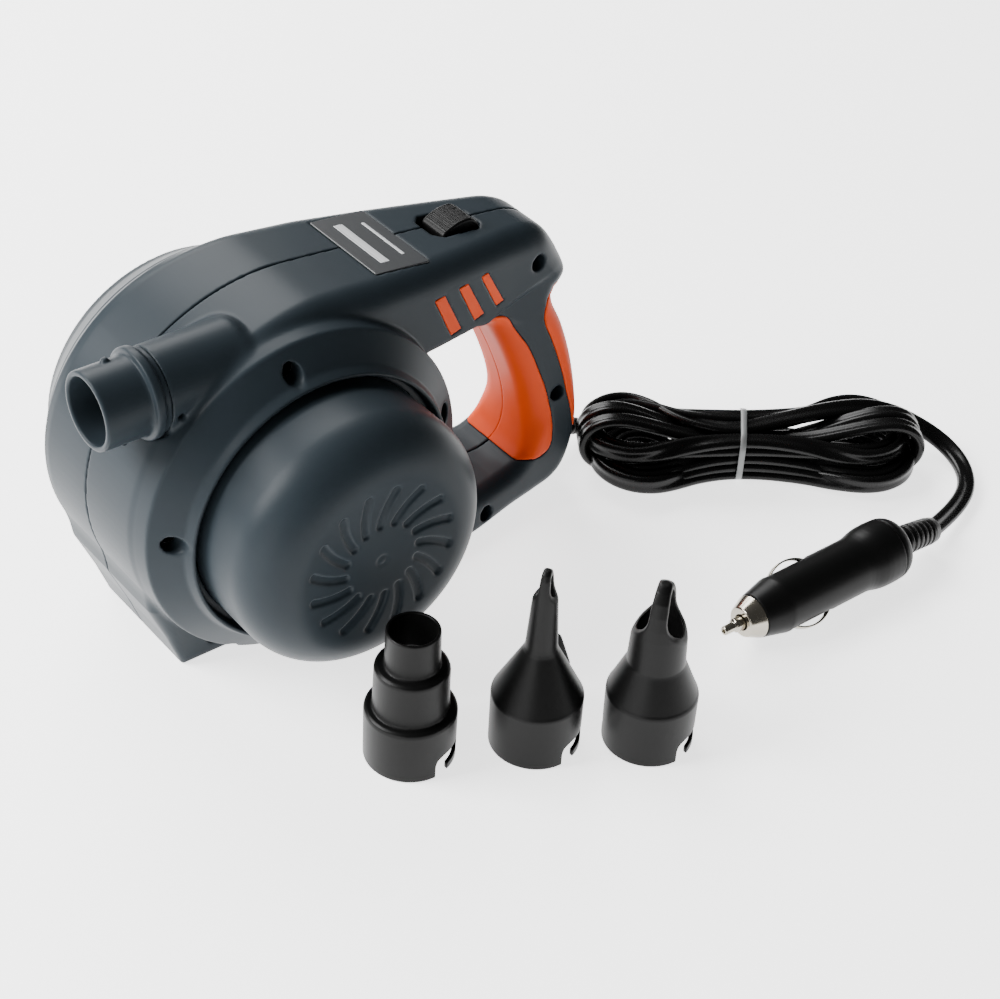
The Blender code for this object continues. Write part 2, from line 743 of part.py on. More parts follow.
def hank_outline():
    """Two lobes joined by a waist where the tie sits, as a half-width rule along the hank."""
    stations = 14
    low, high = -HANK_BACK, HANK_FRONT
    upper = []
    for i in range(stations + 1):
        u = low + (high - low) * (1 - math.cos(math.pi * i / stations)) / 2
        lobe = HANK_LOBES[0] if u < 0 else HANK_LOBES[1]
        end = low if u < 0 else high
        waist = HANK_WAIST + (lobe - HANK_WAIST) * math.sin(min(1, abs(u) / 40) * math.pi / 2) ** 2
        tail = max(0.0, 1 - (u / end) ** 8) ** 0.5
        upper.append((u, waist * tail))
    lower = [(u, -v) for u, v in upper[-2:0:-1]]
    return upper + lower


def hank_place():
    centre = Matrix.Translation(Vector((*HANK_CENTRE, 0)) * MM)
    return centre @ Matrix.Rotation(math.radians(HANK_ANGLE), 4, "Z")


def make_hank():
    hank = floor_plate(hank_outline(), *HANK_Z, hank_place())
    keep(hank, "cord_hank", "cord_pvc")
    low, high = HANK_Z
    inner = HANK_WAIST + 0.6
    band = 1.2
    tie = block((-1.9, -inner - band, low - GAP - 0.8), (1.9, inner + band, high + GAP + 0.9))
    hole = block((-4, -inner, low - GAP), (4, inner, high + GAP))
    tie.matrix_world = hank_place() @ tie.matrix_world
    hole.matrix_world = hank_place() @ hole.matrix_world
    boolean(tie, hole)
    keep(tie, "cable_tie", "tie_nylon")


def make_lead():
    """The two stretches of lead outside the hank."""
    start = smooth_path([(151.4, 0, 6.9), (156.5, 0.8, 5.3), (162.0, 1.2, 4.1), (166.6, -0.6, 4.0),
                         (168.0, -4.0, 4.6), (167.2, -6.7, 5.4)], 3)
    keep(tube(start, CORD_THICK / 2), "cord_start", "cord_pvc")
    lead = smooth_path([(254.6, -73.2, 9.0), (259.4, -74.6, 6.6), (263.4, -79.4, 4.4),
                        (264.8, -86.5, 3.8), (263.4, -94.0, 3.8), (259.0, -103.0, 3.8),
                        (252.0, -111.5, 4.0), (242.5, -118.2, 5.2), (232.0, -123.0, 7.6),
                        (222.5, -126.0, 10.6), (215.0, -126.8, 11.9)], 4)
    keep(tube(lead, CORD_THICK / 2), "cord_lead", "cord_pvc")


def along_plug():
    """Local +Z runs from the plug's tip back to the lead."""
    return aim((PLUG_TIP_X, PLUG_Y, PLUG_Z), (1, 0, 0))


def contact_place(side):
    """Middle of one side contact: local X runs along the plug and local Y points outwards."""
    turn = CONTACT_TILT if side > 0 else CONTACT_TILT + math.pi
    middle = Matrix.Translation(Vector((PLUG_TIP_X + 36.0, PLUG_Y, PLUG_Z)) * MM)
    return middle @ Matrix.Rotation(turn, 4, "X")


def make_plug():
    place = along_plug()
    body = lathe([(5.4, 82.0), (9.6, 82.0), (11.4, 79.5), (11.6, 72.0), (11.2, 66.0), (10.5, 63.0),
                  (10.4, 26.0), (8.0, 14.2), (6.6, 14.2), (6.6, 50.0), (8.2, 52.0), (8.2, 76.0),
                  (5.4, 78.0)], place, 24)
    slots = block((-10.2, -14.0, -1.9), (10.2, 14.0, 1.9))
    slots.matrix_world = contact_place(1)
    boolean(body, slots)
    keep(body, "plug_body", "black_plastic")
    cone = lathe([(3.0, 13.9), (8.0, 13.9), (5.6, 8.4), (3.0, 8.4)], place, 24)
    keep(cone, "plug_cone", "nickel")
    pin = lathe([(0, 16.5), (4.4, 16.5), (4.4, 15.0), (2.6, 14.6), (2.6, 5.0), (2.0, 4.6),
                 (1.6, 0), (0, 0)], place, 12)
    keep(pin, "plug_pin", "nickel")
    keep(rod(3.0, 17.2, 46.0, place, 12), "plug_fuse", "fuse_glass")
    keep(rod(5.0, 46.6, 49.4, place, 12), "plug_fuse_stop", "nickel")
    relief = [(0, 103.0), (3.6, 103.0), (5.0, 83.2), (5.0, 74.0), (0, 74.0)]
    keep(lathe(relief, place, 16), "plug_strain_relief", "black_plastic")
    for label, side in (("near", -1), ("far", 1)):
        shape = arc((0, -1.6), 14.2, 48, 132, 8)
        inner = arc((0, -1.6), 13.5, 132, 48, 8)
        spring = plate([shape + inner], 2.4, Matrix())
        spring.matrix_world = contact_place(side)
        keep(spring, "plug_contact_" + label, "nickel")


# ---------------------------------------------------------------- nozzle adapters

def bayonet_slot(nozzle, centre, angle):
    """An L-shaped notch in the base rim that takes one of the spigot's pips."""
    turn = Matrix.Translation(Vector((*centre, 0)) * MM) @ Matrix.Rotation(math.radians(angle), 4, "Z")
    entry = block((NOZZLE_R - 4, -2.4, -2), (NOZZLE_R + 3, 2.4, 8))
    entry.matrix_world = turn @ entry.matrix_world
    run = block((NOZZLE_R - 6.4, -2.4, 3.5), (NOZZLE_R + 3, 10.0, 8))
    run.matrix_world = turn @ run.matrix_world
    boolean(nozzle, entry)
    boolean(nozzle, run)


def turned_nozzle(name, outside, inside):
    centre = NOZZLES[name]
    place = Matrix.Translation(Vector((*centre, 0)) * MM)
    nozzle = lathe(outside + inside, place, 28)
    for angle in SLOT_ANGLES:
        bayonet_slot(nozzle, centre, angle)
    return nozzle, place


def base_wall(shoulder):
    """Outer base wall below the shoulder, then back up inside it."""
    r, w = NOZZLE_R, NOZZLE_WALL
    return [(r, shoulder), (r - 0.3, 0), (r - w - 0.2, 0), (r - w - 0.2, shoulder - 2.0)]


def make_nozzles():
    w = NOZZLE_WALL
    stepped, _ = turned_nozzle("stepped", [(8.9 - w, 53), (8.9, 53), (9.1, 39.5), (12.2, 38.4),
                                           (12.6, 21.8), (14.6, 21.0)],
                               base_wall(20.0) + [(10.6, 20.0), (10.6, 37.0), (8.9 - w, 39.0)])
    keep(stepped, "nozzle_stepped", "black_plastic")
    needle, place = turned_nozzle("needle", [(2.4, 61.2), (4.0, 61.2), (5.3, 40.8), (14.9, 22.2)],
                                  base_wall(21.0) + [(12.4, 21.0), (3.6, 39.6)])
    arch(needle, place, 3.4, 60.6, 72.0, 1.5, 35)
    keep(needle, "nozzle_needle", "black_plastic")
    valve, place = turned_nozzle("valve", [(7.4, 44.0), (9.0, 44.0), (9.6, 34.2), (14.9, 22.2)],
                                 base_wall(21.0) + [(12.6, 21.0), (7.8, 33.6)])
    arch(valve, place, 8.2, 43.4, 66.0, 2.2, 35)
    keep(valve, "nozzle_valve", "black_plastic")


def arch(nozzle, place, half_span, low, high, half_depth, angle):
    """A bridge over the nozzle's mouth, which keeps a valve flap open."""
    outer = [(-half_span, low), (half_span, low), (half_span * 0.9, (low + high) / 2),
             (half_span * 0.4, high), (-half_span * 0.4, high), (-half_span * 0.9, (low + high) / 2)]
    thick = 1.3
    inner = [(half_span - thick, low - 1), (-half_span + thick, low - 1),
             (-half_span * 0.8 + thick, (low + high) / 2), (-half_span * 0.15, high - thick),
             (half_span * 0.15, high - thick), (half_span * 0.8 - thick, (low + high) / 2)]
    bridge = plate([outer], 2 * half_depth, Matrix())
    turn = place @ Matrix.Rotation(math.radians(angle), 4, "Z") @ TO_COVER
    bridge.matrix_world = turn
    gap = plate([inner[::-1]], 4 * half_depth, Matrix())
    gap.matrix_world = turn
    boolean(bridge, gap)
    boolean(nozzle, bridge, "UNION")


# ---------------------------------------------------------------- inner wiring

def make_wires():
    inlet = smooth_path([(128.6, 0.6, 14.0), (124.8, 1.0, 15.6), (122.0, 1.6, 19.0), (120.6, 2.6, 26.0),
                         (120.0, 3.2, 34.0), (118.1, 3.2, 42.0), (117.4, 3.2, 50.0), (117.6, 3.2, 64.0),
                         (116.4, 3.2, 80.0), (115.4, 3.2, 92.0), (110.5, 3.2, 98.6), (97.5, 3.2, 101.5)], 3)
    keep(tube(inlet, 0.9, 1), "wire_supply", "wire_red")


clear_scene()
PARTS = collection("air_pump")
TOOLS = collection("tools")
MATERIALS = make_materials()
make_housings()
make_grips()
make_motor_cover()
make_intake_grille()
make_spigot()
make_screws()
make_motor()
make_impeller()
make_switch()
make_label()
make_gland()
make_hank()
make_lead()
make_plug()
make_nozzles()
make_wires()
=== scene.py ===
"""Looks of the air mattress pump set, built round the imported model.

Sizes are in millimetres in the row frame (+X to the handle, -Y the motor cover's side, +Z up);
MM turns them into metres. The moulded pieces are signed distance fields, negative inside the
solid, sampled on a grid and turned into a mesh by surface(). Cords are swept along their routes.
"""
import math

import bpy
import numpy as np
from mathutils import Euler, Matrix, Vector


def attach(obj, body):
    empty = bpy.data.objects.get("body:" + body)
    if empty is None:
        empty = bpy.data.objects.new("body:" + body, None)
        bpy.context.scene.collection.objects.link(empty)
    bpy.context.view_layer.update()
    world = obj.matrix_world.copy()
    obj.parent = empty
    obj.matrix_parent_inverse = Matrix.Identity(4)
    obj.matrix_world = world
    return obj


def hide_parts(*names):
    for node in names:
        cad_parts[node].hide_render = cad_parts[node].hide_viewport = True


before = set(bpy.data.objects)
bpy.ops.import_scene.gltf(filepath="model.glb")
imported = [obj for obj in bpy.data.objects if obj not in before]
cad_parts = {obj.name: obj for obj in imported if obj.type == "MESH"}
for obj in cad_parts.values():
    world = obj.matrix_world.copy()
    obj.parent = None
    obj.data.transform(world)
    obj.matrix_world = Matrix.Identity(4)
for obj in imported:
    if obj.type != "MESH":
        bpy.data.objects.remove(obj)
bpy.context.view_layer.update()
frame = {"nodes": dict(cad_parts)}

MM = 0.001
SEAM_Y = 1.0
AXIS_Z = 62.7
DRUM_R = 61.3
SPIGOT_Y, SPIGOT_Z = -18.2, 112.3
SPIGOT_BORE = 11.3
TOP_SLOPE = 0.098
SWITCH_X = 82.4
LABEL_X = 49.3


# ------------------------ distance fields

class Grid:
    """Sample points filling a box; x, y and z broadcast against each other."""

    def __init__(self, low, high, cell):
        self.low = np.array(low, float)
        self.cell = cell
        counts = np.ceil((np.array(high) - self.low) / cell).astype(int) + 1
        axes = [(self.low[k] + cell * np.arange(counts[k])).astype(np.float32) for k in range(3)]
        self.x = axes[0][:, None, None]
        self.y = axes[1][None, :, None]
        self.z = axes[2][None, None, :]


def polygon(points, u, v):
    """Distance to a closed outline in the plane of u and v."""
    u, v = np.broadcast_arrays(u, v)
    nearest = np.full(u.shape, 1e9, np.float32)
    inside = np.zeros(u.shape, bool)
    for (u0, v0), (u1, v1) in zip(points, points[1:] + points[:1]):
        du, dv = u1 - u0, v1 - v0
        length = du * du + dv * dv
        if length < 1e-12:
            continue
        t = np.clip(((u - u0) * du + (v - v0) * dv) / length, 0, 1)
        nearest = np.minimum(nearest, (u - u0 - t * du) ** 2 + (v - v0 - t * dv) ** 2)
        if dv:
            inside ^= ((v0 > v) != (v1 > v)) & (u < du * (v - v0) / dv + u0)
    return np.where(inside, -1, 1).astype(np.float32) * np.sqrt(nearest)


def turned(profile, r, h):
    """Solid of revolution from a closed (radius, height) outline; r and h share no axis."""
    rows = np.arange(float(r.min()) - 0.2, float(r.max()) + 0.4, 0.2)
    table = polygon(profile, rows[:, None], h.ravel()[None, :])
    axis = int(np.argmax(h.shape))
    flat = r.take(0, axis)
    return np.stack([np.interp(flat, rows, table[:, k]).astype(np.float32) for k in range(h.size)], axis)


def union(a, b, blend):
    """Either solid, with the crease between them filled."""
    t = np.clip(0.5 + 0.5 * (b - a) / blend, 0, 1)
    return b + (a - b) * t - blend * t * (1 - t)


def both(a, b, radius=0.0):
    """Where both solids are, with the edge between them rounded."""
    u = np.maximum(a + radius, 0)
    v = np.maximum(b + radius, 0)
    return np.minimum(np.maximum(a, b), -radius) + np.sqrt(u * u + v * v)


def cut(a, b, radius=0.0):
    return both(a, -b, radius)


def curve(points, steps):
    """Catmull-Rom points through the given ones, in any number of dimensions."""
    p = np.array(points, float)
    p = np.vstack([p[:1], p, p[-1:]])
    out = []
    for a, b, c, d in zip(p, p[1:], p[2:], p[3:]):
        for t in np.arange(steps) / steps:
            out.append(0.5 * (2 * b + (c - a) * t + (2 * a - 5 * b + 4 * c - d) * t * t
                              + (3 * b - a - 3 * c + d) * t ** 3))
    out.append(p[-1])
    return [tuple(q) for q in out]


def arc(centre, radius, start, end, steps):
    angles = np.radians(np.linspace(start, end, steps + 1))
    return [(centre[0] + radius * math.cos(a), centre[1] + radius * math.sin(a)) for a in angles]


def eased(xs, ys, window):
    """A smoothed piecewise line through the given points, as a function."""
    fine = np.arange(xs[0] - 40, xs[-1] + 40, 1.0)
    line = np.interp(fine, xs, ys)
    line = np.convolve(np.pad(line, window, "edge"), np.ones(window) / window, "same")[window:-window]
    return lambda x: np.interp(x, fine, line).astype(np.float32)


def smoothstep(low, high, value):
    t = np.clip((value - low) / (high - low), 0, 1)
    return t * t * (3 - 2 * t)


# ------------------------ meshes and pieces

def add_mesh(name, verts, faces):
    """A smooth-shaded mesh of quads from arrays; verts in millimetres."""
    mesh = bpy.data.meshes.new(name)
    faces = np.asarray(faces, np.int32)
    mesh.vertices.add(len(verts))
    mesh.vertices.foreach_set("co", (np.asarray(verts) * MM).astype(np.float32).ravel())
    mesh.loops.add(faces.size)
    mesh.loops.foreach_set("vertex_index", faces.ravel())
    mesh.polygons.add(len(faces))
    mesh.polygons.foreach_set("loop_start", np.arange(0, faces.size, faces.shape[1], dtype=np.int32))
    mesh.polygons.foreach_set("use_smooth", np.ones(len(faces), bool))
    mesh.update(calc_edges=True)
    mesh.validate()
    obj = bpy.data.objects.new(name, mesh)
    bpy.context.scene.collection.objects.link(obj)
    return obj


def surface(name, field, grid):
    """The zero level of a sampled field as a mesh (surface nets)."""
    inside = field < 0
    n = [s - 1 for s in field.shape]
    count = np.zeros(n, np.int8)
    corners = [(i, j, k) for i in (0, 1) for j in (0, 1) for k in (0, 1)]
    for i, j, k in corners:
        count += inside[i:i + n[0], j:j + n[1], k:k + n[2]]
    active = (count > 0) & (count < 8)
    cells = np.argwhere(active)
    index = np.full(n, -1, np.int32)
    index[tuple(cells.T)] = np.arange(len(cells))
    total = np.zeros((len(cells), 3))
    hits = np.zeros(len(cells))
    for axis in range(3):
        for corner in corners:
            if corner[axis]:
                continue
            far = list(corner)
            far[axis] = 1
            a = field[tuple((cells + corner).T)]
            b = field[tuple((cells + far).T)]
            crossed = (a < 0) != (b < 0)
            t = a[crossed] / (a[crossed] - b[crossed])
            point = np.tile(np.array(corner, float), (len(t), 1))
            point[:, axis] = t
            total[crossed] += point
            hits[crossed] += 1
    verts = grid.low + (cells + total / hits[:, None]) * grid.cell
    quads = []
    for axis in range(3):
        u, v = (axis + 1) % 3, (axis + 2) % 3
        low = [slice(1, -1)] * 3
        high = [slice(1, -1)] * 3
        low[axis], high[axis] = slice(0, -1), slice(1, None)
        crossed = np.argwhere(inside[tuple(low)] != inside[tuple(high)])
        offset = np.ones(3, int)
        offset[axis] = 0
        base = crossed + offset
        step_u, step_v = np.eye(3, dtype=int)[u], np.eye(3, dtype=int)[v]
        ring = [base, base - step_u, base - step_u - step_v, base - step_v]
        quad = np.stack([index[tuple(c.T)] for c in ring], 1)
        inner = inside[tuple(base.T)]
        quad[~inner] = quad[~inner][:, ::-1]
        quads.append(quad)
    return add_mesh(name, verts, np.vstack(quads))


def sweep(name, path, section, sides, closed=False):
    """Carry a closed section along a path; sides gives its width direction at each point."""
    path, sides = np.array(path, float), np.array(sides, float)
    if closed:
        tangent = np.roll(path, -1, 0) - np.roll(path, 1, 0)
    else:
        tangent = np.gradient(path, axis=0)
    tangent /= np.linalg.norm(tangent, axis=1)[:, None]
    wide = sides - tangent * (sides * tangent).sum(1)[:, None]
    wide /= np.linalg.norm(wide, axis=1)[:, None]
    thick = np.cross(tangent, wide)
    sec = np.array(section, float)
    if sec.ndim == 2:
        sec = np.repeat(sec[None], len(path), 0)
    rings = path[:, None] + wide[:, None] * sec[..., :1] + thick[:, None] * sec[..., 1:]
    count, around = rings.shape[:2]
    quads = []
    for i in range(count if closed else count - 1):
        a, b = i * around, ((i + 1) % count) * around
        for j in range(around):
            k = (j + 1) % around
            quads.append((a + j, a + k, b + k, b + j))
    verts = rings.reshape(-1, 3)
    if not closed:
        for start, flip in ((0, True), ((count - 1) * around, False)):
            centre = len(verts)
            verts = np.vstack([verts, path[0 if flip else -1][None]])
            for j in range(0, around, 2):
                k, m = (j + 1) % around, (j + 2) % around
                quad = (centre, start + j, start + k, start + m)
                quads.append(quad[::-1] if flip else quad)
    return add_mesh(name, verts, quads)


def dress(obj, material, body, slot, *nodes):
    """Finish a piece: its material, the body it rides on, and the CAD nodes it stands for."""
    obj.data.materials.clear()
    obj.data.materials.append(MATERIALS[material])
    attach(obj, body)
    if nodes:
        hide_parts(*nodes)


# ------------------------ materials

def link(tree, a, a_out, b, b_in):
    tree.links.new(a.outputs[a_out], b.inputs[b_in])


def put(node, values):
    for name, value in values.items():
        node.inputs[name].default_value = value


def moulded(name, colour, roughness, grain=0.25, bump=0.12, vary=0.06, spread=0.05, metallic=0.0,
            specular=0.5):
    """Plastic or metal with a fine grain, a slow change of tone and uneven gloss.

    grain is the size of the grain in millimetres, bump its strength, vary the share by which the
    colour wanders and spread how far the roughness does.
    """
    mat = bpy.data.materials.new(name)
    mat.use_nodes = True
    tree = mat.node_tree
    shader = tree.nodes["Principled BSDF"]
    put(shader, {"Metallic": metallic, "Specular IOR Level": specular})
    place = tree.nodes.new("ShaderNodeTexCoord")
    slow = tree.nodes.new("ShaderNodeTexNoise")
    put(slow, {"Scale": 55.0, "Detail": 3.0})
    fine = tree.nodes.new("ShaderNodeTexNoise")
    put(fine, {"Scale": 1.0 / (grain * MM), "Detail": 2.0})
    for noise in (slow, fine):
        link(tree, place, "Object", noise, "Vector")
    ramp = tree.nodes.new("ShaderNodeValToRGB")
    ramp.color_ramp.elements[0].position = 0.3
    ramp.color_ramp.elements[1].position = 0.7
    ramp.color_ramp.elements[0].color = (*[c * (1 - vary) for c in colour], 1)
    ramp.color_ramp.elements[1].color = (*[min(1, c * (1 + vary)) for c in colour], 1)
    link(tree, slow, "Fac", ramp, "Fac")
    link(tree, ramp, "Color", shader, "Base Color")
    gloss = tree.nodes.new("ShaderNodeMapRange")
    put(gloss, {"To Min": roughness - spread, "To Max": roughness + spread})
    link(tree, fine, "Fac", gloss, "Value")
    link(tree, gloss, "Result", shader, "Roughness")
    relief = tree.nodes.new("ShaderNodeBump")
    put(relief, {"Strength": bump, "Distance": 0.02 * MM})
    link(tree, fine, "Fac", relief, "Height")
    link(tree, relief, "Normal", shader, "Normal")
    return mat


MATERIALS = {
    "slate": moulded("slate_satin", (0.0155, 0.0215, 0.0265), 0.40, 0.22, 0.25, 0.05, specular=0.11),
    "orange": moulded("orange_soft_touch", (0.60, 0.052, 0.004), 0.5, 0.3, 0.2, 0.04, specular=0.10),
    "black": moulded("black_satin", (0.003, 0.003, 0.003), 0.28, 0.3, 0.15, 0.08, specular=0.18),
    "dull_black": moulded("black_matt", (0.003, 0.003, 0.003), 0.38, 0.35, 0.3, 0.08, specular=0.13),
    "film": moulded("label_film", (0.022, 0.024, 0.026), 0.34, 0.5, 0.05, 0.05),
    "film_line": moulded("label_print", (0.42, 0.43, 0.44), 0.4, 0.5, 0.05, 0.05),
    "steel": moulded("plated_steel", (0.45, 0.45, 0.46), 0.32, 0.15, 0.2, 0.1, metallic=1.0),
    "nickel": moulded("nickel_plate", (0.40, 0.37, 0.31), 0.20, 0.2, 0.08, 0.06, metallic=1.0),
    "copper": moulded("copper_winding", (0.72, 0.33, 0.16), 0.35, 0.4, 0.5, 0.15, metallic=1.0),
    "magnet": moulded("sintered_magnet", (0.05, 0.05, 0.055), 0.6, 0.2, 0.4, 0.1),
    "cord": moulded("cord_pvc", (0.003, 0.003, 0.003), 0.27, 0.4, 0.1, 0.1, specular=0.22),
    "tie": moulded("tie_nylon", (0.24, 0.25, 0.25), 0.38, 0.4, 0.1, 0.03),
    "nylon": moulded("fan_nylon", (0.70, 0.70, 0.67), 0.45, 0.4, 0.15, 0.04),
    "glass": moulded("fuse_glass", (0.78, 0.80, 0.80), 0.12, 0.5, 0.02, 0.03),
    "wire": moulded("wire_red", (0.42, 0.02, 0.02), 0.35, 0.4, 0.1, 0.08),
}


# ------------------------ camera, floor and light

def aim_at(obj, target):
    direction = Vector(target) - obj.location
    obj.rotation_euler = direction.to_track_quat("-Z", "Y").to_euler()


def make_camera():
    """Above the cover's side, looking down at 38 degrees with a slight roll."""
    data = bpy.data.cameras.new("camera")
    data.lens = 81.0
    data.sensor_width = 36.0
    data.clip_start = 0.01
    camera = bpy.data.objects.new("camera", data)
    bpy.context.scene.collection.objects.link(camera)
    camera.location = Vector((-330.157, -524.262, 520.073)) * MM
    aim_at(camera, Vector((102.85, -13.3, 0)) * MM)
    roll = Euler((0, 0, math.radians(3.83))).to_matrix()
    camera.rotation_euler = (camera.rotation_euler.to_matrix() @ roll).to_euler()
    bpy.context.scene.camera = camera


def area_light(name, place, target, size, power):
    data = bpy.data.lights.new(name, "AREA")
    data.shape = "RECTANGLE"
    data.size, data.size_y = size
    data.energy = power
    light = bpy.data.objects.new(name, data)
    bpy.context.scene.collection.objects.link(light)
    light.location = place
    aim_at(light, target)


def make_studio():
    size, level = 3.0, -0.0002
    corners = [(-size, -size, level), (size, -size, level), (size, size, level), (-size, size, level)]
    floor = add_mesh("floor", np.array(corners) / MM, [(0, 1, 2, 3)])
    mat = bpy.data.materials.new("floor_white")
    mat.use_nodes = True
    put(mat.node_tree.nodes["Principled BSDF"],
        {"Base Color": (0.9, 0.9, 0.9, 1), "Roughness": 0.7, "Emission Color": (1, 1, 1, 1),
         "Emission Strength": 2.2})
    floor.data.materials.append(mat)
    world = bpy.data.worlds.new("studio")
    world.use_nodes = True
    put(world.node_tree.nodes["Background"], {"Color": (1, 1, 1, 1), "Strength": 0.09})
    bpy.context.scene.world = world
    middle = (0.07, -0.04, 0.04)
    area_light("key", (-1.0, 0.6, 0.9), middle, (0.9, 0.9), 60)
    area_light("top", (0.3, 1.4, 1.25), middle, (1.2, 1.2), 48)
    area_light("side", (-1.2, -0.5, 0.25), middle, (0.8, 0.5), 5)


# ------------------------ cord route

CORD_WIDE, CORD_THIN = 7.2, 3.6
HANK_CENTRE = np.array([192.2, -48.7])
HANK_ANGLE = math.radians(-34.0)
HANK_U = np.array([math.cos(HANK_ANGLE), math.sin(HANK_ANGLE)])
HANK_V = np.array([-math.sin(HANK_ANGLE), math.cos(HANK_ANGLE)])
ROW_Z = [3.2 + 3.72 * row for row in range(5)]
# runs through the tie, in order: sideways place and layer; even runs go to the right
TIE_CELLS = [(7.7, 0), (-7.7, 0), (7.7, 1), (-7.7, 1), (7.7, 2), (-7.7, 2), (0.0, 0), (0.0, 2), (0.0, 1),
             (0.0, 3), (7.7, 3), (-7.7, 3), (7.7, 4), (-7.7, 4), (0.0, 4)]
# level folds at each end, in order: radius, reach along the hank, height and middle;
# an upright fold has a middle only, and its radius, reach and lower height are below
RIGHT_FOLDS = [(19.8, 66.5, 7.6, -2.0), (15.9, 62.6, 7.4, -2.0), (12.0, 58.7, 7.6, -2.0), (3.8,), (-4.0,),
               (14.8, 60.2, 14.7, 4.2), (18.8, 64.2, 14.5, 4.6)]
LEFT_FOLDS = [(19.8, 57.5, 7.6, -2.4), (15.9, 53.6, 7.4, -2.4), (12.0, 49.7, 7.6, -2.4), (6.4,), (-1.4,),
              (14.8, 57.0, 14.7, 5.0), (18.8, 61.0, 14.5, 5.8)]
UPRIGHT_RADIUS, UPRIGHT_LOW = 3 * CORD_THIN, 2.0
UPRIGHT_REACH = {1: 69.6, -1: 62.6}
ACROSS = 1000.0                 # marks a width direction across the hank, in place of a tilt


def fold_points(side, fold, sense):
    """A U-turn at one end; sense is +1 from the far side to the near one, or upwards."""
    upright = len(fold) == 1
    radius, reach = (UPRIGHT_RADIUS, UPRIGHT_REACH[side]) if upright else fold[:2]
    points = []
    for angle in np.linspace(90, -90, 9):
        a = math.radians(angle)
        u = side * (reach - radius + radius * math.cos(a))
        if upright:
            height = UPRIGHT_LOW + radius * (1 - sense * math.sin(a))
            points.append((u, fold[0], height, ACROSS))
        else:
            points.append((u, fold[3] + sense * radius * math.sin(a), fold[2], 90))
    return points


def run_points(cell, fold, side, first):
    """From the tie out to where a fold starts; first tells a fold's first run from its second."""
    v, row = cell
    z = ROW_Z[row]
    points = [(0.0, v, z, 0), (side * 7.0, v * 1.02, z, 0)]
    if len(fold) == 1:
        low = (side > 0) == first
        end = UPRIGHT_REACH[side] - UPRIGHT_RADIUS
        edge, height = fold[0], UPRIGHT_LOW + (0 if low else 2 * UPRIGHT_RADIUS)
        shares, turn = ((0.30, 0.85, 0.15), (0.62, 1.0, 0.62), (0.84, 1.0, 0.93)), 0
    else:
        radius, reach, height, middle = fold
        end, edge = reach - radius, middle + (radius if (side > 0) == first else -radius)
        shares, turn = ((0.42, 0.28, 0.28), (0.72, 0.74, 0.74)), 90
    for share, aside, mix in shares:
        points.append((side * (7.0 + (end - 7.0) * share), v + (edge - v) * aside, z + (height - z) * mix,
                       turn * mix))
    return points


def hank_route():
    """Route in the hank's own frame: along, across, height and tilt."""
    route = []
    last = len(TIE_CELLS) - 1
    for k, cell in enumerate(TIE_CELLS):
        going = 1 if k % 2 == 0 else -1
        if k > 0:
            fold = (RIGHT_FOLDS if going < 0 else LEFT_FOLDS)[(k - 1) // 2]
            route += run_points(cell, fold, -going, False)[:0:-1]
        if k < last:
            fold = (RIGHT_FOLDS if going > 0 else LEFT_FOLDS)[k // 2]
            route += run_points(cell, fold, going, True)
            route += fold_points(going, fold, going)
        else:
            route += [(0.0, cell[0], ROW_Z[cell[1]], 0), (7.0, 2.2, 18.5, 0)]
    return route


def to_floor(u, v):
    return HANK_CENTRE + u * HANK_U + v * HANK_V


START_ROUTE = [(151.2, 0, 6.9, 20), (156.0, 0.6, 5.6, 20), (161.0, 0.4, 4.2, 30), (165.4, -2.2, 4.2, 40),
               (168.6, -7.4, 4.4, 50)]
LEAD_ROUTE = [(252.6, -73.4, 15.4, -36), (259.8, -77.0, 10.2, -36), (264.8, -82.8, 6.4, -30),
              (265.8, -90.0, 4.4, -20), (263.4, -98.6, 3.8, -8), (258.4, -106.6, 3.6, 10),
              (250.8, -113.2, 4.0, 28), (240.4, -118.2, 4.8, 42), (230.0, -121.6, 5.6, 50),
              (219.6, -124.6, 7.0, 50)]


def cord_route():
    """Points of the whole lead with its width directions, from the gland to the plug."""
    hank = [(-38.0, 22.0, 4.0, 60), (-26.0, 18.0, 3.6, 30), (-12.0, 11.0, 3.2, 5)] + hank_route()
    hank += [(18.0, 4.6, 19.6, -5), (30.0, 7.4, 20.8, -15), (42.0, 10.0, 21.0, -25), (53.0, 12.8, 19.2, -32)]
    hank = [(*to_floor(u, v), z, tilt) for u, v, z, tilt in hank]
    points = np.array(START_ROUTE + hank + LEAD_ROUTE)
    return np.array(curve(np.hstack([points[:, :3], width_directions(points)]), 10))


def twin_section(wide, thin):
    """Outline of a flat twin cord: two round cores joined by a thin web."""
    r = thin / 2
    centre = wide / 2 - r
    points = []
    for side in (1, -1):
        for a in np.radians(np.linspace(-128, 128, 9)):
            points.append((side * (centre + r * math.cos(a)), side * r * math.sin(a)))
    return points


def resample(route, step):
    """Evenly spaced points along a route, with its last columns carried along."""
    gaps = np.linalg.norm(np.diff(route[:, :3], axis=0), axis=1)
    along = np.concatenate([[0], np.cumsum(gaps)])
    even = np.linspace(0, along[-1], int(along[-1] / step) + 1)
    return np.stack([np.interp(even, along, route[:, k]) for k in range(route.shape[1])], 1), along[-1]


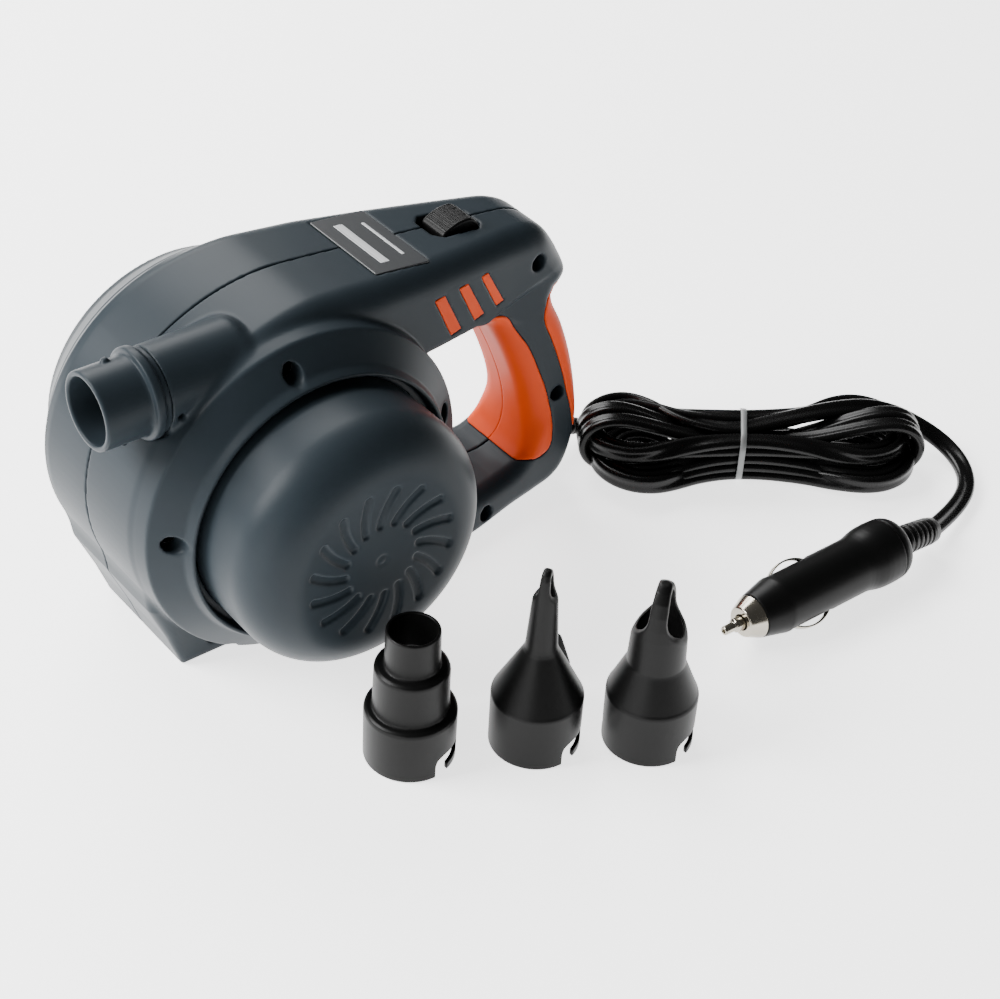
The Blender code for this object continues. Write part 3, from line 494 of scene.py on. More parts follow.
def width_directions(points):
    """Width direction: level across the route at tilt 0, upright at 90 degrees."""
    tangent = np.gradient(points[:, :3], axis=0)
    level = np.cross(tangent, [0, 0, 1.0])
    level /= np.linalg.norm(level, axis=1)[:, None] + 1e-9
    up = np.cross(level, tangent)
    up /= np.linalg.norm(up, axis=1)[:, None] + 1e-9
    a = np.radians(points[:, 3:])
    wide = level * np.cos(a) + up * np.sin(a)
    wide[points[:, 3] == ACROSS] = (*HANK_V, 0)
    for k in range(1, len(wide)):                  # the cord never turns over between two points
        if wide[k] @ wide[k - 1] < 0:
            wide[k] *= -1
    return wide


def relaxed(route, reach):
    """Average each point with its neighbours, which takes out kinks; the ends stay."""
    kernel = np.ones(2 * reach + 1) / (2 * reach + 1)
    padded = np.pad(route, ((reach, reach), (0, 0)), "reflect", reflect_type="odd")
    return np.stack([np.convolve(padded[:, k], kernel, "valid") for k in range(route.shape[1])], 1)


def make_cord():
    route, _ = resample(cord_route(), 1.4)
    route, length = resample(relaxed(relaxed(route, 4), 3), 1.4)
    path = route[:, :3]
    cord = sweep("cord", path, twin_section(CORD_WIDE, CORD_THIN), route[:, 3:])
    dress(cord, "cord", "pump", "cord_pvc", "cord_start", "cord_hank", "cord_lead")
    return cord, path, length


# ------------------------ housing

HOUSING_CELL = 0.62                          # sampling step of the two halves
GRIP_DEPTH, ACCENT_DEPTH = 2.2, 0.9          # pockets of the soft grips and of the orange bars
POCKET_PLAY, SEAM_GAP = 0.03, 0.12           # play round what is let in, and half the parting gap
RECESS_DEPTH = 5.0                           # floor of the switch's recess below the sloping top
GLAND_HOLE, GLAND_FALL = 3.4, 0.309          # hole for the lead's sleeve: radius and slope
SCREW_WELL, SCREW_RING = 3.15, 54            # radius of the screws' wells and of their circle
BODY_SCREWS = {"nose": (109.0, 105.0, 9.0), "foot": (-31.0, 8.0, 18.0), "lower_arm": (88.0, 6.4, 13.0),
               "handle": (124.0, 43.0, 8.0)}
RING_SCREWS = [(SCREW_RING * math.cos(math.radians(a)), AXIS_Z + SCREW_RING * math.sin(math.radians(a)), 24.0)
               for a in (99.0, 14.8, 174.6)]


def from_axis(g):
    """Distance from the motor's axis."""
    return np.sqrt(g.x ** 2 + (g.z - AXIS_Z) ** 2)


def from_spigot(g):
    """Distance from the outlet's axis."""
    return np.sqrt((g.y - SPIGOT_Y) ** 2 + (g.z - SPIGOT_Z) ** 2)


def top_z(x):
    """Height of the sloping top."""
    return 127.6 - TOP_SLOPE * (x - 14.0)


def body_outline():
    front = [(-43.3, 0), (-48.5, 13.9), (-55.4, 29.6)]
    drum = arc((0, AXIS_Z), DRUM_R, 202, 130, 24)
    top = curve([drum[-1], (-25, 119.2), (-11, 124.9), (5, 127.6), (20, 127.0), (45, top_z(45)),
                 (75, top_z(75)), (100, top_z(100)), (109, 117.5), (116.0, 113.6), (121.8, 105.8),
                 (125.4, 98.5), (125.6, 94.6), (123.4, 91.6), (120.6, 89.4)], 6)
    back = curve([(119.6, 86.8), (121.0, 81.6), (125.9, 71.5), (131.0, 57), (134.5, 42), (136.2, 28),
                  (135.0, 16), (131.0, 6.5), (124, 1.5), (114, 0)], 6)
    return front + drum + top[1:] + back


def finger_outline():
    """The hand gap; its drum side runs inside the drum, which is added afterwards."""
    grip = curve([(79.5, 91.2), (88, 87.3), (95, 79.3), (101.5, 68), (107, 56), (111, 45),
                  (113.2, 35), (113.2, 27), (110.6, 20.6), (104.5, 16.6), (96, 15.7)], 6)
    return [(62, 15.6), (38, 15.6)] + arc((0, AXIS_Z), DRUM_R - 3, -52, 28, 12) + [(56, 91.4)] + grip


UPPER_WIDTH = eased([20, 35, 60, 75, 90, 98, 110, 120, 132],
                    [29.8, 29.6, 26.4, 24.0, 21.4, 20.0, 18.4, 17.4, 16.6], 9)
HANDLE_WIDTH = eased([20, 35, 60, 75, 86, 96, 110, 120, 136],
                     [29.8, 29.6, 26.4, 23.0, 18.8, 17.4, 17.4, 17.2, 16.6], 9)
LOWER_WIDTH = eased([20, 60, 80, 87, 103, 118, 137], [25.6, 25.6, 25.4, 24.2, 20.6, 18.0, 16.8], 9)


def half_width(x, z):
    """Wide at the arm, narrower below the step under it, and wide again at the foot."""
    low = LOWER_WIDTH(x) + (HANDLE_WIDTH(x) - LOWER_WIDTH(x)) * smoothstep(0, 46, z)
    step = 90.3 + 0.258 * (x - 83.6)
    return low + (UPPER_WIDTH(x) - low) * smoothstep(-3.2, 0.8, z - step)


def outer_round(x, z):
    """Radius of the edge between the outline and the sides."""
    top = 5.0 + 4.5 * smoothstep(-30, 30, x)
    top = top - 4.5 * smoothstep(104, 124, x) * (1 - smoothstep(88, 104, z))
    foot = 2.2 + 3.5 * smoothstep(60, 118, x)
    return (foot + (top - foot) * smoothstep(2, 34, z)).astype(np.float32)


def inner_round(x, z):
    """Radius of the edges round the hand gap: full on the grip, small under the arm."""
    grip = smoothstep(74, 92, x) * smoothstep(10, 34, z) * (1 - smoothstep(80, 92, z))
    low = 1 - smoothstep(14, 40, z)
    return (2.0 + 4.0 * low + 8.5 * grip * (1 - low)).astype(np.float32)


def side_profile(near):
    """Drum and ring as (radius, distance from the mid-plane); the far ring is the smaller."""
    shoulder = arc((59.5, 34.7), 1.4, 55, 0, 4) if near else arc((56.3, 32.6), 2.2, 55, 0, 4)
    return ([(-9, -5), (-9, 41.0), (49.0, 41.0), (49.0, 46.1)] + arc((49.9, 45.9), 0.9, 180, 60, 4)
            + [(51.6, 43.5), (51.9, 43.0)] + shoulder + [(61.3, 29.0), (61.3, -5)])


def body_field(g):
    """The whole outer shape, with neither pockets nor cavities."""
    outer = polygon(body_outline(), g.x, g.z)
    gap = polygon(finger_outline(), g.x, g.z)
    side = np.abs(g.y) - half_width(g.x, g.z)
    skin = both(outer, side, outer_round(g.x, g.z))
    skin = cut(skin, gap, inner_round(g.x, g.z))
    radius = from_axis(g)
    near = float(g.y.min()) < -5
    drum = turned(side_profile(near), radius, np.abs(g.y))
    skin = union(skin, drum, 1.6)
    if near:
        reach = from_spigot(g)
        hump = ([(-9, 49.2), (13.6, 49.2), (14.3, 48.5), (14.4, 18)] + arc((9.4, 18), 5, 0, -80, 5)
                + [(-9, 13)])
        skin = union(skin, turned(hump, reach, -g.x), 2.4)
    return skin


def drilled(skin, g):
    """The wells of the screws, sunk from the near side; none goes through."""
    for x, z, seat in list(BODY_SCREWS.values()) + RING_SCREWS:
        hole = np.sqrt((g.x - x) ** 2 + (g.z - z) ** 2) - SCREW_WELL
        skin = cut(skin, np.maximum(hole, g.y + seat), 0.5)
    return skin


def front_grip_outline():
    edge = curve([(77.0, 91.0), (83.0, 89.6), (88.0, 89.0), (92.0, 88.5), (95.8, 87.2), (98.7, 84.4),
                  (102.5, 78.4), (108.9, 68.6), (114.4, 56.8), (118.6, 46.4), (121.4, 36.4), (122.9, 27.0),
                  (122.3, 20.6), (119.6, 17.8), (115.4, 17.2), (110, 17.8), (104, 17.2), (98, 17.4)], 6)
    return edge + [(90, 30), (86, 60), (77, 88)]


def back_grip_outline():
    edge = curve([(119.5, 92), (117.2, 88.6), (115.4, 84.6), (114.8, 80.6), (115.6, 76.2), (118.4, 70.2),
                  (122.0, 61.6), (125.8, 51.2), (128.4, 42.4), (130.9, 34.6), (132.8, 27.6), (134.4, 23.0),
                  (138, 20.5)], 6)
    return edge + [(145, 22), (145, 60), (134, 92)]


def accent_outline(index):
    """A leaning bar: its top edge is level and its bottom edge rises slightly to the right."""
    left = (57.5, 68.9, 79.7)[index]
    width = (4.8, 4.5, 3.5)[index]
    low = (94.4, 95.5, 96.5)[index]
    return [(left, 112.0), (left + width, 112.2), (left + width + 8.8, low + 0.8), (left + 8.6, low)]


def along_top(g, x0):
    """Coordinates along and above the sloping top, from a point on it."""
    tilt = math.atan(TOP_SLOPE)
    dx, dz = g.x - x0, g.z - top_z(x0)
    return dx * math.cos(tilt) - dz * math.sin(tilt), dx * math.sin(tilt) + dz * math.cos(tilt)


def duct_hole(shell, g):
    """A small round hole in the duct's near side, aimed at its axis."""
    aim = np.array([0.0, -13.7, -3.9]) / math.hypot(13.7, 3.9)
    start = np.array([-43.6, SPIGOT_Y, SPIGOT_Z])
    d = [g.x - start[0], g.y - start[1], g.z - start[2]]
    depth = d[1] * aim[1] + d[2] * aim[2]
    off = np.sqrt(np.maximum(d[0] ** 2 + d[1] ** 2 + d[2] ** 2 - depth ** 2, 0))
    return cut(shell, np.maximum(off - 1.3, 12.0 - depth), 0.3)


def make_housing(side):
    """One half of the casing, hollowed, with pockets for what is let into it."""
    near = side < 0
    low_y, high_y = (-48.4, SEAM_Y + 0.8) if near else (SEAM_Y - 0.8, 48.4)
    g = Grid((-63.5, low_y, -1.8), (138.5, high_y, 130.0), HOUSING_CELL)
    skin = body_field(g)
    shell = skin
    for outline in (front_grip_outline(), back_grip_outline()):
        region = polygon(outline, g.x, g.z) - POCKET_PLAY
        shell = cut(shell, np.maximum(region, -(skin + GRIP_DEPTH)), 0.1)
    for index in range(3):
        region = polygon(accent_outline(index), g.x, g.z) - POCKET_PLAY
        shell = cut(shell, np.maximum(region, -(skin + ACCENT_DEPTH)), 0.1)
    along, above = along_top(g, SWITCH_X)
    recess = switch_recess(along, g.y)
    shell = cut(shell, np.maximum(recess, -(above + RECESS_DEPTH)), 0.6)
    along, above = along_top(g, LABEL_X)
    label = both(np.abs(along) - 11.2, np.abs(g.y) - 19.7, 0.8)
    shell = cut(shell, np.maximum(label, -(above + 0.45)), 0.2)
    radius = from_axis(g)
    cavity = [(-9, -44), (46.2, -44), (46.2, -38.5), (57, -31.5), (57, 31.5), (46.2, 38.5), (46.2, 44),
              (-9, 44)]
    shell = cut(shell, turned(cavity, radius, g.y), 0.3)
    if near:
        reach = from_spigot(g)
        shell = cut(shell, np.maximum(reach - SPIGOT_BORE, g.x - 6), 0.2)
        shell = cut(shell, np.maximum(reach - 15.6, g.x + 46.8), 0.2)
        shell = drilled(shell, g)
        shell = duct_hole(shell, g)
        shell = both(shell, g.y - (SEAM_Y - SEAM_GAP), 0.3)
    else:
        shell = both(shell, (SEAM_Y + SEAM_GAP) - g.y, 0.3)
    gland = np.sqrt(g.y ** 2 + ((g.z - 12.5) + (g.x - 133.2) * GLAND_FALL) ** 2) - GLAND_HOLE
    shell = cut(shell, np.maximum(gland, 120 - g.x), 0.3)
    name = "near_shell" if near else "far_shell"
    node = "near_housing" if near else "far_housing"
    dress(surface(name, shell, g), "slate", "pump", "slate_plastic", node)


def switch_recess(along, across):
    """Long six-sided opening with chamfered corners."""
    a, b = np.abs(along), np.abs(across)
    return np.maximum(np.maximum(a - 10.3, b - 7.8), (a + b * 0.9 - 14.4) / 1.345)


def make_grips():
    for label, side in (("near", -1), ("far", 1)):
        low_y, high_y = (-27, SEAM_Y + 1.0) if side < 0 else (SEAM_Y - 0.6, 27)
        for part, outline in (("front", front_grip_outline()), ("back", back_grip_outline())):
            low_x, high_x = (76, 125) if part == "front" else (110, 139)
            g = Grid((low_x, low_y, 12), (high_x, high_y, 97), 0.5)
            skin = body_field(g)
            region = polygon(outline, g.x, g.z) + 0.04
            proud = 0.14 if side < 0 else 0.12
            grip = both(both(skin - proud, region, 0.3), -(skin + GRIP_DEPTH - 0.2), 0.2)
            seam = g.y - (SEAM_Y + 0.4) if side < 0 else (SEAM_Y + 0.05) - g.y
            grip = both(grip, seam)
            name = "%s_%s_grip" % (label, part)
            dress(surface(name + "_skin", grip, g), "orange", "pump", "orange_soft", name)
        for index in range(3):
            outline = accent_outline(index)
            low_y, high_y = (-29, -18) if side < 0 else (18, 29)
            low, high = (outline[0][0], outline[2][1]), (outline[2][0], outline[0][1])
            g = Grid((low[0] - 1, low_y, low[1] - 1), (high[0] + 1, high_y, high[1] + 1), 0.35)
            skin = body_field(g)
            region = polygon(outline, g.x, g.z) + 0.04
            bar = both(both(skin + 0.02, region, 0.2), -(skin + ACCENT_DEPTH - 0.15))
            name = "%s_accent_%d" % (label, index + 1)
            dress(surface(name + "_bar", bar, g), "orange", "pump", "orange_soft", name)


# ------------------------ cover, grille, spigot

VANES = 16
VANE_INNER, VANE_OUTER = 14.4, 26.8          # centres of a vane groove's round ends
VANE_SWEEP = 15.0                            # degrees that a groove turns on its way in
INTAKE_SLOTS = 16
PIP_R = 1.55                                 # pips on the spigot that a nozzle's slots turn under


def vane_grooves(radius, angle):
    """Distance to the nearest curved groove in the plane of the cover's face."""
    inward = (VANE_OUTER - np.clip(radius, VANE_INNER, VANE_OUTER)) / (VANE_OUTER - VANE_INNER)
    pitch = 2 * math.pi / VANES
    centre = np.radians(12.0 + VANE_SWEEP * inward)
    off = np.mod(angle - centre + pitch / 2, pitch) - pitch / 2
    lean = 1.0 / np.sqrt(1 + (radius * math.radians(VANE_SWEEP) / (VANE_OUTER - VANE_INNER)) ** 2)
    across = radius * np.sin(off) * lean
    past = radius * np.cos(off) - np.clip(radius * np.cos(off), VANE_INNER, VANE_OUTER)
    return np.sqrt(across ** 2 + past ** 2) - 1.35


def make_cover():
    r, face, edge = 46.4, 79.0, 17.0
    g = Grid((-47.2, -80.0, AXIS_Z - 47.2), (47.2, -40.6, AXIS_Z + 47.2), 0.5)
    radius = from_axis(g)
    outside = arc((r - edge, face - edge), edge, 0, 90, 24)
    solid = turned([(r, 41.4)] + outside + [(-9, face), (-9, 41.4)], radius, -g.y)
    grooves = vane_grooves(radius, np.arctan2(g.z - AXIS_Z, g.x))
    solid = cut(solid, np.maximum(grooves, -(-g.y - (face - 0.9))), 0.45)
    dimple = turned([(1.0, face + 1), (1.0, face - 0.3), (2.3, face - 0.3), (2.6, face + 1)], radius, -g.y)
    solid = cut(solid, dimple, 0.2)
    hollow = turned([(r - 2.4, 30)] + arc((r - edge, face - edge), edge - 2.4, 0, 90, 12)
                    + [(-9, face - 2.4), (-9, 30)], radius, -g.y)
    solid = cut(solid, hollow, 0.2)
    dress(surface("cover_shell", solid, g), "slate", "pump", "slate_plastic", "motor_cover")


def make_grille():
    """The far side's intake: a flat disc with radial slots and a collar."""
    face = 47.5
    g = Grid((-50.8, 38.8, AXIS_Z - 50.8), (50.8, 57.2, AXIS_Z + 50.8), 0.55)
    radius = from_axis(g)
    profile = ([(44.0, 39.6), (50.0, 39.6), (50.0, 40.8), (46.4, 41.0)] + arc((44.4, face - 2), 2, 0, 90, 5)
               + [(13.3, face), (13.3, 55.4), (12.7, 56.0), (SPIGOT_BORE, 56.0), (SPIGOT_BORE, face - 2.4),
                  (44.0, face - 2.4)])
    solid = turned(profile, radius, g.y)
    angle = np.arctan2(g.z - AXIS_Z, g.x)
    pitch = 2 * math.pi / INTAKE_SLOTS
    off = np.mod(angle + pitch / 2, pitch) - pitch / 2
    along, across = radius * np.cos(off), radius * np.sin(off)
    slot = np.sqrt((along - np.clip(along, 20.0, 40.0)) ** 2 + across ** 2) - 1.7
    solid = cut(solid, slot + 0 * g.y, 0.5)
    ridge = np.abs(radius - 42.6) - 0.5
    solid = cut(solid, np.maximum(ridge, face - 0.6 - g.y), 0.2)
    dress(surface("grille_disc", solid, g), "slate", "pump", "slate_plastic", "intake_grille")


def make_spigot():
    g = Grid((-70.4, SPIGOT_Y - 17, SPIGOT_Z - 17), (-46.2, SPIGOT_Y + 17, SPIGOT_Z + 17), 0.4)
    reach = from_spigot(g)
    profile = ([(SPIGOT_BORE, 47.0), (SPIGOT_BORE, 68.6)] + arc((12.1, 68.5), 0.8, 180, 90, 3)
               + arc((12.5, 68.5), 0.8, 90, 0, 3) + [(13.3, 54.2), (13.5, 53.2), (14.2, 52.8)]
               + arc((14.5, 51.9), 0.9, 80, 0, 3) + arc((14.5, 50.2), 0.9, 0, -80, 3)
               + [(14.2, 49.0), (14.2, 47.0)])
    solid = turned(profile, reach, -g.x)
    for angle in (-1.9, -1.9 + math.pi):
        y = SPIGOT_Y + 13.2 * math.cos(angle)
        z = SPIGOT_Z + 13.2 * math.sin(angle)
        pip = np.sqrt((g.x + 59.5) ** 2 + (g.y - y) ** 2 + (g.z - z) ** 2) - PIP_R
        solid = union(solid, pip, 0.5)
    dress(surface("spigot_tube", solid, g), "slate", "pump", "slate_plastic", "outlet_spigot")


# ------------------------ switch, label and screws

GRIP_PITCH = 0.62                            # pitch of the fine pattern on the switch
SCREW_HEAD = 0.3                             # edge of a screw's head above its seat


def make_switch():
    """Slide button with a fine squared grip pattern on its crowned top."""
    g = Grid((SWITCH_X - 9, -7.5, 116), (SWITCH_X + 11, 7.5, 126.5), 0.15)
    along, above = along_top(g, SWITCH_X)
    outline = curve([(-6.6, -2.4), (-6.5, -0.9), (-5.6, 0.3), (-3.6, 1.5), (-0.6, 2.9), (2.4, 3.5),
                     (5.0, 3.4), (7.2, 2.2), (8.7, 0.5), (9.2, -1.6)], 5) + [(9.2, -3.4), (-6.6, -3.4)]
    button = both(polygon(outline, along, above) + 0 * g.y, np.abs(g.y) - 6.4 + 0 * along, 0.9)
    waves = []
    for value in (along + 0 * g.y, g.y + 0 * along):
        waves.append(np.abs(np.mod(value, GRIP_PITCH) - GRIP_PITCH / 2) - 0.10)
    patch = both(np.abs(along - 0.8) - 6.2, np.abs(g.y) - 5.5) + 0 * above
    groove = np.maximum(np.maximum(np.minimum(*waves), patch), -(button + 0.16))
    button = cut(button, np.maximum(groove, 0.4 - above))
    dress(surface("switch_cap", button, g), "dull_black", "switch", "black_plastic", "switch_button")


def make_label():
    """Dark film across the seam, with two plain printed bars."""
    x, z = LABEL_X, top_z(LABEL_X)
    g = Grid((x - 12, -20.4, z - 2.2), (x + 12, 20.4, z + 2.2), 0.22)
    along, above = along_top(g, x)
    film = both(np.abs(along) - 11.0, np.abs(g.y) - 19.5, 1.0) + 0 * above
    film = both(film, np.abs(above + 0.12) - 0.27, 0.1)
    dress(surface("label_film", film, g), "film", "pump", "label_film", "label_plate")
    bars = (("label_bar_wide", -3.2, 14.0, 1.9), ("label_bar_thin", 5.6, 12.0, 0.7))
    for name, place, half_long, half_wide in bars:
        bar = both(np.abs(along - place) - half_wide, np.abs(g.y) - half_long, 0.5) + 0 * above
        bar = np.maximum(bar, np.abs(above - 0.1) - 0.12)
        dress(surface(name, bar, g), "film_line", "pump", "label_film")


def make_screws():
    """Pan heads with a cross recess, at the bottom of their holes."""
    seats = dict(BODY_SCREWS)
    for name, screw in zip(("ring_top", "ring_right", "ring_left"), RING_SCREWS):
        seats[name] = screw
    for name, (x, z, seat) in seats.items():
        head = seat + SCREW_HEAD
        g = Grid((x - 3.2, -head - 2.6, z - 3.2), (x + 3.2, -head + 4.6, z + 3.2), 0.16)
        radius = np.sqrt((g.x - x) ** 2 + (g.z - z) ** 2)
        profile = [(-9, head + 1.9), (0.9, head + 1.85)] + arc((1.5, head + 0.6), 1.2, 75, 10, 4) + [
            (2.7, head), (1.4, head), (1.4, head - 4), (-9, head - 4)]
        solid = turned(profile, radius, -g.y)
        for u, v in ((g.x - x, g.z - z), (g.z - z, g.x - x)):
            bar = np.maximum(np.abs(u) - 1.6, np.abs(v) - 0.34)
            solid = cut(solid, np.maximum(bar, head + 0.8 + g.y), 0.1)
        dress(surface("screwhead_" + name, solid, g), "steel", "pump", "steel", "screw_" + name)


# ------------------------ gland, tie and plug

TIE_SLANT = 0.154                            # how far the tie leans along the hank as it crosses it
TIE_HEAD = (2.0, 13.4, 9.4)                  # along and across the hank, and height
PLUG_Y, PLUG_Z, PLUG_TIP_X = -126.8, 11.9, 111.5
CONTACT_TILT = math.radians(38.0)            # far contact's direction above level
CONTACT_BACK, CONTACT_R = 36.0, 14.0         # a contact's bow: middle behind the tip, and radius
RELIEF_PITCH = 2.9


def disc(count=20):
    return np.array([(math.cos(a), math.sin(a)) for a in np.linspace(0, 2 * math.pi, count, endpoint=False)])


def strip(a, b, c, d):
    """Section of a flat strip with cut corners: half widths a and b, half thicknesses c and d."""
    return [(a, c), (b, d), (-b, d), (-a, c), (-a, -c), (-b, -d), (b, -d), (a, -c)]


def upright(path):
    """Side directions for a sweep whose section is round."""
    return np.repeat([[0.0, 0.0, 1.0]], len(path), 0)


def make_gland():
    start, end = np.array([131.0, 0, 13.2]), np.array([151.0, 0, 7.0])
    share = np.linspace(0, 1, 70)
    reach = share * np.linalg.norm(end - start)
    radius = np.interp(reach, [0, 5.0, 5.1, 6.6, 6.9, 20.2, 20.94], [2.9, 2.9, 4.3, 4.3, 3.5, 3.3, 2.7])
    radius -= np.where((reach > 8) & (reach < 19.4) & (np.mod(reach, 2.4) < 0.9), 0.45, 0)
    path = start + share[:, None] * (end - start)
    gland = sweep("gland_sleeve", path, disc()[None] * radius[:, None, None], upright(path))
    dress(gland, "black", "pump", "black_plastic", "cord_gland")


def make_tie():
    """A nylon tie round the middle of the hank, with its head and a short trimmed tail."""
    half, low, high, corner = 12.2, 1.0, 20.8, 5.2
    loop = []
    for v, z, start in ((half, high, 0), (-half, high, 90), (-half, low, 180), (half, low, 270)):
        inward = (v - math.copysign(corner, v), z - corner if z == high else z + corner)
        loop += arc(inward, corner, start, start + 90, 8)
    path, sides = [], []
    for v, z in loop:
        path.append((*to_floor(TIE_SLANT * v, v), z))
        sides.append((*HANK_U, 0.0))
    band = strip(1.15, 1.0, 0.25, 0.5)
    dress(sweep("tie_band", path, band, sides, True), "tie", "pump", "tie_nylon", "cable_tie")
    middle = to_floor(*TIE_HEAD[:2])
    g = Grid((*(middle - 4), 6.0), (*(middle + 4), 13.0), 0.25)
    x, y = g.x - HANK_CENTRE[0], g.y - HANK_CENTRE[1]
    u, v = x * HANK_U[0] + y * HANK_U[1], x * HANK_V[0] + y * HANK_V[1]
    head = both(np.abs(u - TIE_HEAD[0]) - 2.1, np.abs(v - TIE_HEAD[1]) - 1.5, 0.5) + 0 * g.z
    head = both(head, np.abs(g.z - TIE_HEAD[2]) - 2.1, 0.5)
    dress(surface("tie_head", head, g), "tie", "pump", "tie_nylon")
    tail = [(*to_floor(2.1, 14.0), 11.0), (*to_floor(2.3, 14.3), 13.0), (*to_floor(2.4, 15.0), 14.8),
            (*to_floor(2.5, 16.2), 16.2)]
    sides = [(*HANK_U, 0.0)] * len(tail)
    thin = [(a * 0.8, b * 0.8) for a, b in band]
    dress(sweep("tie_tail", tail, thin, sides), "tie", "pump", "tie_nylon")


def plug_grid(start, end, reach, cell):
    """Sample points round the plug, with the distance from its axis and from its tip."""
    low = (PLUG_TIP_X + start, PLUG_Y - reach, PLUG_Z - reach)
    g = Grid(low, (PLUG_TIP_X + end, PLUG_Y + reach, PLUG_Z + reach), cell)
    return g, np.sqrt((g.y - PLUG_Y) ** 2 + (g.z - PLUG_Z) ** 2), g.x - PLUG_TIP_X


def make_plug():
    g, radius, back = plug_grid(13.0, 85.2, 12.9, 0.35)
    barrel = [(6.6, 14.2), (7.95, 14.2), (8.1, 14.4), (10.2, 23.6), (10.36, 24.2), (10.45, 25.2),
              (10.45, 62.4), (10.55, 64.2), (10.85, 66.0), (11.35, 68.0), (11.75, 70.0), (11.95, 72.2),
              (12.0, 75.0), (11.9, 78.5), (11.55, 78.6), (11.55, 79.2), (11.85, 79.3), (11.6, 80.9),
              (11.0, 82.4), (10.1, 83.6), (9.0, 84.2), (5.4, 84.2), (5.4, 78), (8.2, 76), (8.2, 52),
              (6.6, 50)]
    body = turned(barrel, radius, back)
    out = (g.y - PLUG_Y) * math.cos(CONTACT_TILT) + (g.z - PLUG_Z) * math.sin(CONTACT_TILT)
    off = (g.z - PLUG_Z) * math.cos(CONTACT_TILT) - (g.y - PLUG_Y) * math.sin(CONTACT_TILT)
    slot = both(np.abs(back - CONTACT_BACK) - 10.4, np.abs(off) - 1.9, 0.3)
    body = cut(body, np.maximum(slot, 5.0 - np.abs(out)), 0.25)
    dress(surface("plug_barrel", body, g), "dull_black", "pump", "black_plastic", "plug_body")

    g, radius, back = plug_grid(7.4, 14.8, 8.9, 0.2)
    cone = [(3.0, 8.2), (5.2, 8.2), (5.6, 8.5), (7.95, 13.6), (7.95, 13.9), (3.0, 13.9)]
    dress(surface("plug_nose_cone", turned(cone, radius, back), g), "nickel", "pump", "nickel", "plug_cone")

    g, radius, back = plug_grid(-0.8, 17.2, 5.2, 0.16)
    pin = [(-9, 1.5), (0.7, 1.3), (0.8, 0.2), (1.3, 0), (1.65, 0.4), (1.75, 4.5), (2.2, 4.7), (2.55, 5.1),
           (2.6, 14.6), (4.4, 15.0), (4.4, 16.5), (-9, 16.5)]
    dress(surface("plug_tip", turned(pin, radius, back), g), "nickel", "plug_pin_set", "nickel", "plug_pin")

    for name, side in (("near", -1), ("far", 1)):
        bow, sides = [], []
        for a in np.radians(np.linspace(46, 134, 40)):
            reach = side * (CONTACT_R * math.sin(a) - 1.6)
            bow.append((PLUG_TIP_X + CONTACT_BACK + CONTACT_R * math.cos(a),
                        PLUG_Y + reach * math.cos(CONTACT_TILT), PLUG_Z + reach * math.sin(CONTACT_TILT)))
            sides.append((0, -math.sin(CONTACT_TILT), math.cos(CONTACT_TILT)))
        contact = sweep("side_contact_" + name, bow, strip(1.2, 1.0, 0.18, 0.32), sides)
        dress(contact, "nickel", "contact_" + name, "nickel", "plug_contact_" + name)


def make_relief():
    """Ribbed sleeve that lets the lead droop as it leaves the plug."""
    spine = curve([(190.0, PLUG_Y, 11.9), (195.0, PLUG_Y, 11.9), (200.5, PLUG_Y + 0.1, 11.5),
                   (206.5, PLUG_Y + 0.6, 10.4), (212.5, PLUG_Y + 1.2, 9.0), (218.6, PLUG_Y + 1.9, 7.4)], 24)
    spine, length = resample(np.array(spine), 0.24)
    reach = np.linspace(0, length, len(spine))
    radius = np.interp(reach, [0, 6, 25, 25.6, length - 0.6, length], [5.7, 5.7, 5.2, 5.2, 4.8, 4.1])
    grooves = np.clip(1.6 * np.cos(2 * math.pi * reach / RELIEF_PITCH) - 0.2, 0, 1) * 0.75
    radius -= np.where((reach > 6.5) & (reach < 24.5), grooves, 0)
    relief = sweep("plug_relief", spine, disc(28)[None] * radius[:, None, None], upright(spine))
    dress(relief, "black", "pump", "black_plastic", "plug_strain_relief")


# ------------------------ nozzle adapters

SLOT_ANGLES = (-91.5, 88.5)
STRAP_FACING = -144.0                        # direction that the straps of two nozzles face
NOZZLE_FOOT = [(13.9, 0.0), (15.0, 0.0), (15.25, 0.35)]


def nozzle_grid(centre, height):
    """Sample points round a nozzle, with the place and the distance from its axis."""
    reach = 16.4
    low = (centre[0] - reach, centre[1] - reach, -0.8)
    g = Grid(low, (centre[0] + reach, centre[1] + reach, height + 0.8), 0.33)
    dx, dy = g.x - centre[0], g.y - centre[1]
    return g, dx, dy, np.sqrt(dx ** 2 + dy ** 2)


def bayonet(solid, g, dx, dy, radius):
    """Two L-shaped notches in the base's rim, each leaving a rounded tongue."""
    notch = curve([(0.0, -3), (0.0, 2.0), (0.1, 5.0), (0.9, 6.9), (2.6, 7.8), (5.0, 8.1), (13.0, 8.1)], 4)
    notch += [(13.9, 7.2), (13.9, 4.4), (13.1, 3.5), (5.6, 3.5), (5.0, 3.2), (4.8, 2.6), (4.8, 1.0),
              (5.2, 0.5), (14.0, 0.4), (15.0, -3)]
    for angle in SLOT_ANGLES:
        turn = math.radians(angle)
        ahead = dx * math.cos(turn) + dy * math.sin(turn)
        around = radius * np.arctan2(dy * math.cos(turn) - dx * math.sin(turn), ahead)
        shape = polygon(notch, around, g.z)
        solid = cut(solid, np.maximum(shape, 12.0 - radius), 0.25)
    return solid


